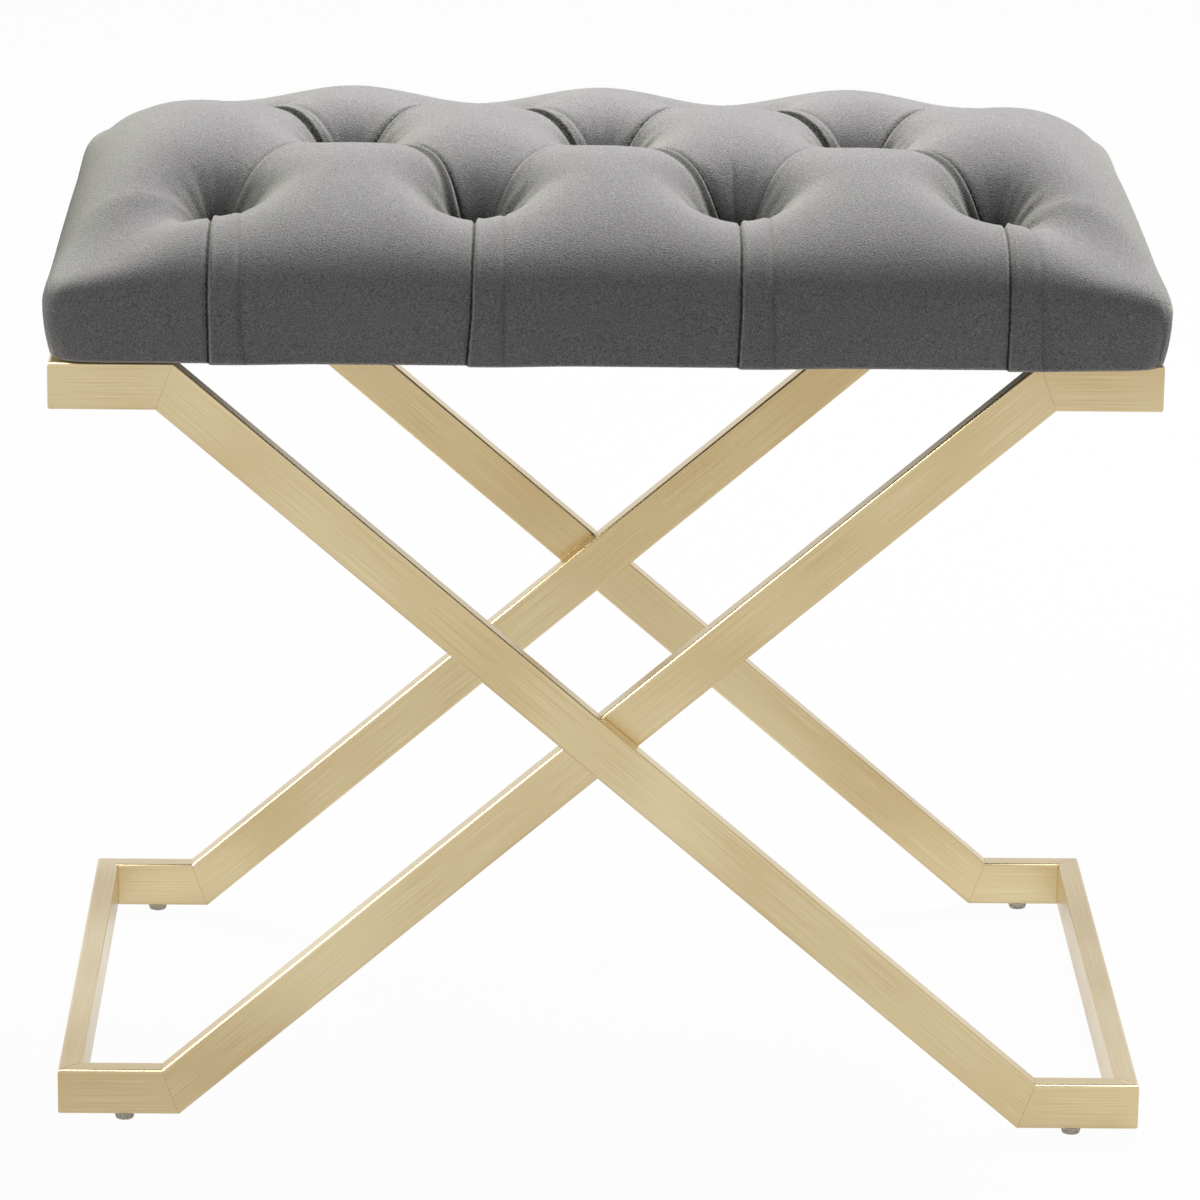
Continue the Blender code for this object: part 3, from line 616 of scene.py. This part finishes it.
def seat_plan():
    """Plan of the seat's grid: the lattice of tufts, and rings round it drawn in to rounded corners.

    A ring covers the roll by a quarter sine, so that its steps stay even. Its square direction is shortened
    to that of a superellipse, which is rounder on top than at the edge.
    """
    ring_steps = np.concatenate([
        np.linspace(0, WIDEST_RING, ROLL_STEPS + 1)[1:],
        np.linspace(WIDEST_RING, SIDE_RING, SIDE_STEPS + 1)[1:],
        np.linspace(SIDE_RING, TURNED_RING, EDGE_STEPS + 1)[1:],
        np.linspace(TURNED_RING, RETURN_RING, RETURN_STEPS + 1)[1:],
        [CUT_RING, BOARD_RING, HOLLOW_RING],
    ])
    clamped_x, outside_x = cushion_axis(TUFT_HALF_WIDTH, 2 * (TUFT_COLUMNS - 1) * TUFT_CELLS, ring_steps)
    clamped_y, outside_y = cushion_axis(TUFT_ROW, 2 * TUFT_CELLS, ring_steps)
    lattice_x, lattice_y = np.meshgrid(clamped_x, clamped_y)
    over_x, over_y = np.meshgrid(outside_x, outside_y)
    ring = np.maximum(np.abs(over_x), np.abs(over_y))
    reach = np.sin(math.pi / 2 * portion(ring, 0, WIDEST_RING))
    inset, fall = ring_sides(ring)
    power = POWER_ON_TOP + (POWER_AT_EDGE - POWER_ON_TOP) * reach ** EDGE_SQUARING
    largest = np.where(ring > 0, ring, 1)
    across = np.abs(over_x) / largest
    deep = np.abs(over_y) / largest
    shrink = np.where(ring > 0, (across ** power + deep ** power + TINY) ** (-1 / power), 0)
    frontness = deep ** 2 / (across ** 2 + deep ** 2 + TINY)
    across = np.sign(over_x) * across * shrink
    deep = np.sign(over_y) * deep * shrink
    x = lattice_x + (ROLL_ENDS * reach - inset) * across
    y = lattice_y + (ROLL_FRONT * reach - inset) * deep
    return SimpleNamespace(
        x=x, y=y, lattice_x=lattice_x, lattice_y=lattice_y, over_x=over_x, over_y=over_y,
        ring=ring, reach=reach, fall=fall, across=across, deep=deep, frontness=frontness,
        on_front=(ring > 0) & (np.abs(over_y) >= np.abs(over_x)),
        end_reach=np.clip((np.abs(x) - TUFT_HALF_WIDTH) / ROLL_ENDS, 0, 1),
        front_reach=np.clip((np.abs(y) - TUFT_ROW) / ROLL_FRONT, 0, 1),
    )


def crown(front, end):
    """Share of the seat's height above its widest ring, by shares of the way to the front and to the end.

    A superellipse from front to back, times one over each end.
    """
    over_front = np.maximum(0, 1 - front ** CROWN_POWER) ** (1 / CROWN_POWER)
    over_end = np.maximum(0, 1 - end ** END_POWER) ** (1 / END_ROUND)
    return over_front * over_end


def seat_height(plan):
    """Height above the underside: the crown, lowered at the corners, and level at the widest ring."""
    half_depth = TUFT_ROW + ROLL_FRONT
    at_corner = (plan.over_x != 0) & (plan.over_y != 0)
    cornerness = np.where(at_corner, 4 * plan.frontness * (1 - plan.frontness), 0)
    pillow = crown(np.minimum(np.abs(plan.y) / half_depth, 1), plan.end_reach)
    pillow = pillow * (1 - CORNER_DROP * cornerness * plan.reach)
    at_front = crown((TUFT_ROW + ROLL_FRONT * plan.reach) / half_depth, 0)
    at_end = crown(TUFT_ROW / half_depth, plan.reach)
    at_ring = at_front * plan.frontness + at_end * (1 - plan.frontness)
    levelled = np.where(at_corner, plan.reach ** LEVELLING, 0)
    above = np.where(plan.ring < WIDEST_RING, pillow + (at_ring - pillow) * levelled, 0)
    return SIDE_HEIGHT + (SEAT_HEIGHT - SIDE_HEIGHT) * above - plan.fall


def tuft_places():
    """Plan place of each tuft, row by row from the front, in the order of the buttons."""
    places = []
    for row in (-1, 0, 1):
        count = TUFT_COLUMNS - 1 + abs(row)
        places += [(TUFT_SPACING * (column - (count - 1) / 2), TUFT_ROW * row) for column in range(count)]
    return places


def pits_and_wrinkles(x, y):
    """Share of the pits, height of the wrinkles and share of the creases, summed over the tufts.

    A pit falls off with distance from its tuft. Wrinkles are waves round the tuft, each with its own
    count and turn, strongest on the pit's wall. Two creases run straight up the rear wall of one pit.
    """
    pit = np.zeros_like(x)
    wrinkle = np.zeros_like(x)
    crease = np.zeros_like(x)
    for number, (tuft_x, tuft_y) in enumerate(tuft_places()):
        away = np.hypot(x - tuft_x, y - tuft_y)
        angle = np.arctan2(y - tuft_y, x - tuft_x)
        pit = pit + np.exp(-(away / PIT_REACH) ** PIT_POWER)
        waves = np.cos((WRINKLE_WAVES + number % WRINKLE_CYCLE) * angle + WRINKLE_TURN * number)
        waves = waves * np.cos(CLUSTER_WAVES * angle + CLUSTER_TURN * number)
        wrinkle = wrinkle + WRINKLE_HEIGHT * waves * bell(away, WRINKLE_PLACE, WRINKLE_WIDTH)
        if number == CREASED_TUFT:
            for crease_angle in CREASE_ANGLES:
                aside = away * np.sin(angle - crease_angle)
                on_side = np.cos(angle - crease_angle) > 0
                along = bell(away, CREASE_PLACE, CREASE_LENGTH)
                crease = crease + on_side * bell(aside, 0, CREASE_WIDTH) * along
    return np.minimum(pit, 1), wrinkle - CREASE_DEPTH * crease, crease


def tufting(plan):
    """Drop of the tufted velvet below the crowned form, and where each place lies among the tufts.

    Pleats are sharp valleys along the two diagonals, counted with the tufts at whole numbers, and fade out
    over the roll. Pits, wrinkles and creases are added, and a shallow saddle from each outer tuft outwards.
    """
    along = (plan.lattice_x + TUFT_HALF_WIDTH) / TUFT_SPACING
    back = (plan.lattice_y + TUFT_ROW) / (2 * TUFT_ROW)
    first = along + back
    second = along - back
    bow = np.where(back < 0.5, np.interp(first, np.arange(TUFT_COLUMNS), FRONT_FOLD_BOW), REAR_FOLD_BOW)
    first = first - bow * np.sin(2 * math.pi * back) ** 2 / TUFT_SPACING
    front_left = FRONT_PLEAT_LEFT + (1 - FRONT_PLEAT_LEFT) * (1 - plan.front_reach) ** 3
    pleat = FOLDED_PLEAT_DEPTH * (1 - np.abs(np.sin(math.pi * first)) ** FOLDED_PLEAT_POWER)
    pleat = pleat + THIN_PLEAT_DEPTH * (1 - np.abs(np.sin(math.pi * second)) ** THIN_PLEAT_POWER)
    pleat = pleat * (1 - plan.end_reach) ** 2 * front_left
    pit, wrinkle, crease = pits_and_wrinkles(plan.x, plan.y)
    column = np.clip(np.round((plan.x + TUFT_HALF_WIDTH) / TUFT_SPACING), 0, TUFT_COLUMNS - 1)
    from_column = plan.x - (column * TUFT_SPACING - TUFT_HALF_WIDTH)
    lean = np.array(FRONT_PLEAT_LEAN)[column.astype(int)] * portion(plan.ring, 0, SIDE_RING)
    inside = np.maximum(TUFT_ROW - np.abs(plan.y), 0)
    saddle = (1 - plan.front_reach ** 2) ** 2 * bell(inside, 0, SADDLE_BEGIN)
    saddle = saddle * bell(from_column, 0, SADDLE_WIDTH)
    drop = pleat + PIT_DEPTH * pit + SADDLE_DEPTH * saddle * (1 - pit) - wrinkle
    drop = drop * (1 - portion(plan.ring, WIDEST_RING, SIDE_RING))
    return drop, SimpleNamespace(
        first=first, second=second, pit=pit, crease=crease, from_upright=from_column - lean
    )


def lapped_edge(across, place):
    """One edge of a pleat laid over the other: a step at a place across it that dies away on both sides."""
    side = 2 * ramp(across, place - LAP_STEP, place + LAP_STEP) - 1
    return side * np.exp(-np.abs(across - place) / LAP_REACH)


def diagonal_fold(across, along, rear):
    """Height, painted shade line share and painted shade share of a folded pleat, by distances across it and
    along from a tuft.

    Seen across, a front fold has a trough, a rolled rim and the narrow gap that the rim lies against. A rear
    fold has its rear side lapped over the near one, with a roll on the lap and a groove on each side of it.
    """
    begun = ramp(along, *FOLDED_BEGIN)
    front_height = ridge(across, FRONT_RIM) + ridge(across, FRONT_TROUGH) + ridge(across, FRONT_GAP)
    rear_grooves = ridge(across, REAR_TROUGH) + ridge(across, REAR_FURROW)
    rear_lap = FOLDED_LAP * lapped_edge(across, FOLDED_LAP_PLACE)
    height = np.where(rear, ridge(across, REAR_ROLL) + rear_grooves + rear_lap, front_height)
    rear_pressed_shade = ridge(across, LAP_PRESSED_SHADE) + ridge(across, FURROW_PRESSED_SHADE)
    pressed_shade = np.where(rear, rear_pressed_shade, ridge(across, FRONT_PRESSED_SHADE))
    return height * begun, ramp(along, *FOLDED_LINE_BEGIN), pressed_shade * begun


def thin_fold(across, along, rear):
    """Height and painted shade line share of a tight pleat: a narrow gap with a low rim, almost closed at the
    front.

    At the rear its rear side is lapped over the near one.
    """
    begun = ramp(along, *THIN_BEGIN)
    tight = np.where(rear, 1.0, THIN_AT_FRONT)
    height = (ridge(across, THIN_RIM) + ridge(across, THIN_GAP)) * tight
    lap = np.where(rear, -THIN_LAP * lapped_edge(across, THIN_LAP_PLACE), 0)
    return (height + lap) * begun, begun * tight


def upright_fold(across, ring):
    """Height, painted shade line share and painted shade share of an upright pleat: gap, rim, and a flat band
    to a soft line.
    """
    begun = ramp(ring, *UPRIGHT_BEGIN) * ramp(ring, *UPRIGHT_END)
    past_band = across - BAND_WIDTH - BAND_SPREAD * np.clip(ring, 0, SIDE_RING)
    band = BAND_HEIGHT * (ramp(across, *BAND_STEP) - ramp(past_band, 0, BAND_FALL))
    height = ridge(across, UPRIGHT_RIM) + ridge(across, UPRIGHT_GAP) + band + ridge(past_band, BAND_LINE)
    return height * begun, begun, ridge(past_band, BAND_PRESSED_SHADE) * begun


def seat_folds(plan, tufts):
    """Height of the folds along the pleats, and the painted shade and painted highlight that the velvet takes
    from folds and pits.

    The folds lie on the diagonals of the lattice, and upright below its front and rear rows.
    """
    line_gap = 1 / math.hypot(1 / TUFT_SPACING, 1 / (2 * TUFT_ROW))
    line_length = math.hypot(TUFT_SPACING / 2, TUFT_ROW)
    from_first = tufts.first - np.round(tufts.first)
    from_second = tufts.second - np.round(tufts.second)
    from_folded = from_first * line_gap
    from_thin = from_second * line_gap
    rear = plan.y > 0
    folded, folded_line, folded_pressed_shade = diagonal_fold(from_folded, np.abs(from_second) * line_length, rear)
    thin, thin_line = thin_fold(from_thin, np.abs(from_first) * line_length, rear)
    upright, upright_line, upright_pressed_shade = upright_fold(tufts.from_upright, np.abs(plan.over_y))
    on_top = plan.ring == 0
    shown = np.where(plan.over_y < 0, 1, ramp(plan.ring, *REAR_UPRIGHT_BEGIN)) * plan.on_front
    height = np.where(on_top, folded + thin, upright * shown)

    # Where each fold's painted shade line lies and how strong it is, with painted shade and a painted
    # highlight rim
    nearer = np.abs(from_folded) < np.abs(from_thin)
    from_line = from_folded - np.where(rear, REAR_LINE_PLACE, FRONT_LINE_PLACE)
    from_fold = np.where(on_top, np.where(nearer, from_line, from_thin), tufts.from_upright)
    fold_shade_share = np.where(on_top, np.where(nearer, folded_line, thin_line), upright_line * shown)
    pressed_shade = np.where(on_top, folded_pressed_shade, upright_pressed_shade * shown)
    # Painted shade in the pits and creases
    pressed_shade = pressed_shade + PIT_SHADE * tufts.pit ** PIT_SHADE_POWER + CREASE_SHADE * tufts.crease
    return height, {
        "from_fold": from_fold,
        "fold_shade_share": np.where(np.abs(from_fold) < LINE_LIMIT, fold_shade_share, 0),
        "rim_highlight_share": np.where(on_top & nearer, RIM_HIGHLIGHT_SHARE * folded_line, 0),
        "pressed_shade": pressed_shade,
    }


def seat_grid():
    """Grid of the tufted seat, with its shades: the crowned form moved along its normal by tufting and folds.

    The normal turns from upright on top to level at the widest ring. To the right of each front fold the
    bottom edge hangs lower, which leaves a small notch at the fold.
    """
    plan = seat_plan()
    drop, tufts = tufting(plan)
    fold_height, shades = seat_folds(plan, tufts)
    notch = EDGE_NOTCH * ramp(tufts.from_upright, *NOTCH_STEP) * ramp(tufts.from_upright, *NOTCH_FADE)
    notch = notch * ramp(plan.ring, *NOTCH_BEGIN) * ramp(plan.ring, RETURN_RING, TURNED_RING)
    height = seat_height(plan) - np.where(plan.on_front & (plan.over_y < 0), notch, 0)
    form = np.stack([plan.x, plan.y, SEAT_UNDERSIDE + height], axis=-1)
    outward = plan.reach / (np.sqrt(plan.across ** 2 + plan.deep ** 2) + TINY)
    upward = np.sqrt(np.maximum(0, 1 - plan.reach ** 2))
    normal = np.stack([plan.across * outward, plan.deep * outward, upward], axis=-1)
    return form - normal * (drop - fold_height)[..., None], shades


def lower_diagonals(points, quads):
    """Each grid cell as two triangles, split along its lower diagonal so that the pleats stay sharp."""
    z = points[:, 2][quads]
    first_lower = (z[:, 0] + z[:, 2] < z[:, 1] + z[:, 3])[:, None, None]
    by_first = np.stack([quads[:, [0, 1, 2]], quads[:, [0, 2, 3]]], axis=1)
    by_second = np.stack([quads[:, [0, 1, 3]], quads[:, [1, 2, 3]]], axis=1)
    return np.where(first_lower, by_first, by_second).reshape(-1, 3)


def velvet_seat(material):
    """Tufted seat as one closed form: the grid surface, closed over the board by a fan."""
    grid, shades = seat_grid()
    rows, columns, _ = grid.shape
    points = grid.reshape(-1, 3)
    numbers = np.arange(rows * columns).reshape(rows, columns)
    border = np.concatenate([numbers[0, :-1], numbers[:-1, -1], numbers[-1, :0:-1], numbers[:0:-1, 0]])
    middle = np.array([[0.0, 0.0, BOARD_TOP]])
    cells = lower_diagonals(points, grid_faces(rows, columns, False))
    faces = [*cells, *ring_fan(border, rows * columns, False)]
    points = np.vstack([points, middle])
    replaced = ["velvet_cover", "foam_core"]
    seat = piece_from("tufted_velvet_seat", points, faces, material, replaced)
    # Attributes for the velvet's painted shade lines, painted shade and painted highlight rim
    for name, values in shades.items():
        layer = seat.data.attributes.new(name, "FLOAT", "POINT")
        layer.data.foreach_set("value", np.append(values.ravel(), 0.0))


def tuft_buttons(material):
    """Covered buttons in the pits: strand, rim and dome as one turned profile."""
    turn = np.linspace(0, BUTTON_DOME_TURN, BUTTON_DOME_POINTS)
    for number in range(1, len(tuft_places()) + 1):
        node = f"tuft_button_{number:02d}"
        low, high = (np.array(corner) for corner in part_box(node))
        radius = (high[0] - low[0]) / 2
        underside = high[2] - BUTTON_DOME - BUTTON_RIM
        dome = np.stack([radius * np.cos(turn), high[2] - BUTTON_DOME * (1 - np.sin(turn))], axis=-1)
        foot = [
            (STRAND_RADIUS, low[2]), (STRAND_RADIUS, underside),
            (BUTTON_UNDERSIDE_SHARE * radius, underside), (radius, underside + BUTTON_RIM / 2),
        ]
        profile = np.vstack([foot, dome])
        turned_piece(f"velvet_button_{number:02d}", profile, (low + high) / 2, material, [node])


def foot_glides(material):
    """Turned glides under the foot corners: rounded foot, flared body, shoulder and stem."""
    turn = np.linspace(0, math.pi / 2, GLIDE_ROUND_POINTS)
    drawn_in = GLIDE_ROUND * (1 - np.sin(turn))
    raised = GLIDE_ROUND * (1 - np.cos(turn))
    for loop in ("outer", "inner"):
        for end in ("front", "rear"):
            node = f"{loop}_{end}_glide"
            low, high = (np.array(corner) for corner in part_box(node))
            top_radius = (high[0] - low[0]) / 2
            top = low[2] + GLIDE_HEIGHT
            sole = np.stack([GLIDE_FOOT_RADIUS - drawn_in, low[2] + raised], axis=-1)
            shoulder = np.stack([top_radius - raised, top - drawn_in], axis=-1)
            stem = [(GLIDE_STEM_RADIUS, top), (GLIDE_STEM_RADIUS, high[2])]
            profile = np.vstack([sole, shoulder, stem])
            turned_piece(f"{node}_moulded", profile, (low + high) / 2, material, [node])


def underside_lining(material):
    """Lining stretched under the board: a grid drawn in to a superellipse, with a slight sag.
    """
    steps = np.linspace(-1, 1, LINING_POINTS)
    across, deep = np.meshgrid(steps, steps)
    largest = np.maximum(np.maximum(np.abs(across), np.abs(deep)), TINY)
    spread = np.abs(across / largest) ** POWER_AT_EDGE + np.abs(deep / largest) ** POWER_AT_EDGE
    corner = np.maximum(spread, 1) ** (-1 / POWER_AT_EDGE)
    half_width = LINING_HIGH[0]
    half_depth = LINING_HIGH[1]
    sag = LINING_SAG * (1 - across ** 2) * (1 - deep ** 2)
    level = (LINING_LOW[2] + LINING_HIGH[2]) / 2
    grid = np.stack([half_width * across * corner, half_depth * deep * corner, level - sag], axis=-1)
    faces = grid_faces(LINING_POINTS, LINING_POINTS, False)[:, ::-1]
    lining = piece_from("underside_lining", grid.reshape(-1, 3), faces, material, ["dust_cover"])


def finish_solids(plywood, plate, zinc):
    """Materials of the CAD solids that stay: the seat board, and its plates, screws and nuts."""
    finishes = {"seat_board": plywood}
    for corner in ("outer_front", "outer_rear", "inner_front", "inner_rear"):
        finishes[f"{corner}_plate"] = plate
        finishes[f"{corner}_screw"] = zinc
        finishes[f"{corner}_nut"] = zinc
    for node, material in finishes.items():
        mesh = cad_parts[node].data
        mesh.materials.clear()
        mesh.materials.append(material)


def seen_rays(tree):
    """Two outputs: 1 for a camera ray, and 1 for a ray that sees the backdrop, also mirrored or through."""
    path = add_node(tree, "ShaderNodeLightPath")
    seen = add_node(tree, "ShaderNodeMath", {
        0: path.outputs["Is Camera Ray"], 1: path.outputs["Is Glossy Ray"],
    }, operation="MAXIMUM")
    seen = add_node(tree, "ShaderNodeMath", {
        0: seen.outputs[0], 1: path.outputs["Is Transmission Ray"],
    }, operation="MAXIMUM")
    return path.outputs["Is Camera Ray"], seen.outputs[0]


def white_world(scene):
    """World that is white to the camera, darker overhead where metal mirrors it, and weak as a light."""
    world = bpy.data.worlds.new("white_studio")
    world.use_nodes = True
    scene.world = world
    tree = world.node_tree
    tree.nodes.clear()
    camera_ray, seen = seen_rays(tree)
    way = add_node(tree, "ShaderNodeTexCoord").outputs["Generated"]
    way = add_node(tree, "ShaderNodeSeparateXYZ", {"Vector": way})
    ceiling = add_node(tree, "ShaderNodeMapRange", {
        "Value": way.outputs["Z"],
        "From Min": 0.4, "From Max": 0.75, "To Min": HORIZON_LIGHT, "To Max": OVERHEAD_LIGHT,
    })
    strength = add_node(tree, "ShaderNodeMapRange", {
        "Value": seen, "To Min": FILL_LIGHT, "To Max": ceiling.outputs[0],
    })
    strength = add_node(tree, "ShaderNodeMath", {0: strength.outputs[0], 1: camera_ray}, operation="MAXIMUM")
    sky = add_node(tree, "ShaderNodeBackground", {
        "Color": linear("#ffffff"), "Strength": strength.outputs[0],
    })
    output = add_node(tree, "ShaderNodeOutputWorld")
    tree.links.new(sky.outputs[0], output.inputs["Surface"])


def white_floor(scene):
    """Floor that takes light like grey paper, mixed with plain white for the rays that see it."""
    material, tree, output = new_material("white_floor")
    camera_ray, seen = seen_rays(tree)
    white_share = add_node(tree, "ShaderNodeMath", {0: seen, 1: FLOOR_WHITE_SEEN}, operation="MULTIPLY")
    white_share = add_node(tree, "ShaderNodeMath", {
        0: camera_ray, 1: FLOOR_WHITE_MORE, 2: white_share.outputs[0],
    }, operation="MULTIPLY_ADD")
    lit = add_node(tree, "ShaderNodeBsdfDiffuse", {"Color": linear("#c8c8c6")})
    white = add_node(tree, "ShaderNodeEmission", {"Color": linear("#ffffff"), "Strength": 1.0})
    mixed = add_node(tree, "ShaderNodeMixShader", {
        0: white_share.outputs[0], 1: lit.outputs[0], 2: white.outputs[0],
    })
    tree.links.new(mixed.outputs[0], output.inputs["Surface"])
    corners = [(x * FLOOR_HALF, y * FLOOR_HALF, 0) for x, y in ((-1, -1), (1, -1), (1, 1), (-1, 1))]
    mesh = bpy.data.meshes.new("studio_floor")
    mesh.from_pydata(corners, [], [(0, 1, 2, 3)])
    mesh.materials.append(material)
    floor = bpy.data.objects.new("studio_floor", mesh)
    scene.collection.objects.link(floor)


def soft_lamps(scene):
    """Softboxes overhead and in front that light the bench, and two that show in gloss alone."""
    lamps = (
        ("top_softbox", (0.75, 1.55, 2.6), (0.0, 0.0, 0.45), 1.4, 126.0, False),
        ("front_softbox", (-1.2, -2.6, 1.6), (0.0, 0.0, 0.3), 1.6, 10.5, False),
        ("edge_light", (0.0, -0.6, 2.6), (0.0, 0.0, 0.2), 1.6, 60.0, True),
        ("left_edge_light", (-2.4, -0.7, 2.1), (0.0, 0.0, 0.2), 1.4, 90.0, True),
    )
    for name, place, aim, size, power, in_gloss in lamps:
        data = bpy.data.lights.new(name, "AREA")
        data.shape = "SQUARE"
        data.size = size
        data.energy = power
        lamp = bpy.data.objects.new(name, data)
        lamp.location = place
        lamp.visible_glossy = in_gloss
        lamp.visible_diffuse = not in_gloss
        lamp.rotation_euler = (Vector(aim) - Vector(place)).to_track_quat("-Z", "Y").to_euler()
        scene.collection.objects.link(lamp)


def photo_camera(scene):
    """Camera at its fitted place: looking along yaw and pitch, and rolled about that line."""
    forward = Vector((
        -math.sin(CAMERA_YAW) * math.cos(CAMERA_PITCH),
        math.cos(CAMERA_YAW) * math.cos(CAMERA_PITCH),
        -math.sin(CAMERA_PITCH),
    ))
    level = Vector((math.cos(CAMERA_YAW), math.sin(CAMERA_YAW), 0.0))
    upright = level.cross(forward)
    right = math.cos(CAMERA_ROLL) * level + math.sin(CAMERA_ROLL) * upright
    up = math.cos(CAMERA_ROLL) * upright - math.sin(CAMERA_ROLL) * level
    data = bpy.data.cameras.new("photo_camera")
    data.sensor_width = SENSOR_MM
    data.lens = FOCAL_PIXELS / IMAGE_PIXELS * SENSOR_MM
    camera = bpy.data.objects.new("photo_camera", data)
    turn = Matrix((right, up, -forward)).transposed().to_4x4()
    camera.matrix_world = Matrix.Translation(CAMERA_PLACE) @ turn
    scene.collection.objects.link(camera)
    scene.camera = camera


VELVET = cut_pile_velvet()
GOLD = brushed_gold_steel()
# Moulded polyethylene, unpigmented: milky, and lets some light through
GLIDE_PLASTIC = plain_patterned(
    "translucent_polyethylene", "#f2eee4", "#e6dfd0", (4 * MM, 4 * MM, 4 * MM),
    roughness=0.6, bump_depth=0.05 * MM, clear=0.4,
)
# Spun-bonded polypropylene cloth: black and dull, with a felted grain
LINING_CLOTH = plain_patterned(
    "black_nonwoven_polypropylene", "#343436", "#1c1c1e", (1.2 * MM, 1.2 * MM, 1.2 * MM),
    roughness=0.9, bump_depth=0.2 * MM,
)
# Sanded birch plywood: pale brown, with its grain along the seat
PLYWOOD = plain_patterned(
    "birch_plywood", "#cfae7c", "#b08a58", (90 * MM, 2 * MM, 1.5 * MM),
    roughness=0.7, bump_depth=0.1 * MM,
)
# Steel plate with the same gold coating as the tubes: smooth, with faint streaks
PLATE_STEEL = plain_patterned(
    "gold_coated_steel_plate", "#e3cfa3", "#d4bc8c", (40 * MM, 0.6 * MM, 0.6 * MM),
    roughness=0.32, bump_depth=0.02 * MM, metallic=1.0,
)
# Zinc-plated steel: cool grey, faintly mottled
ZINC = plain_patterned(
    "zinc_plated_steel", "#c3c7ca", "#a6abb0", (2.5 * MM, 2.5 * MM, 2.5 * MM),
    roughness=0.35, bump_depth=0.02 * MM, metallic=1.0,
)

base_loop("outer", 1, 0.0, GOLD)
base_loop("inner", -1, TUBE_THIN + LOOP_GAP, GOLD)
velvet_seat(VELVET)
tuft_buttons(VELVET)
foot_glides(GLIDE_PLASTIC)
underside_lining(LINING_CLOTH)
finish_solids(PLYWOOD, PLATE_STEEL, ZINC)

SCENE = bpy.context.scene
SCENE.view_settings.view_transform = "Standard"
white_world(SCENE)
white_floor(SCENE)
soft_lamps(SCENE)
photo_camera(SCENE)
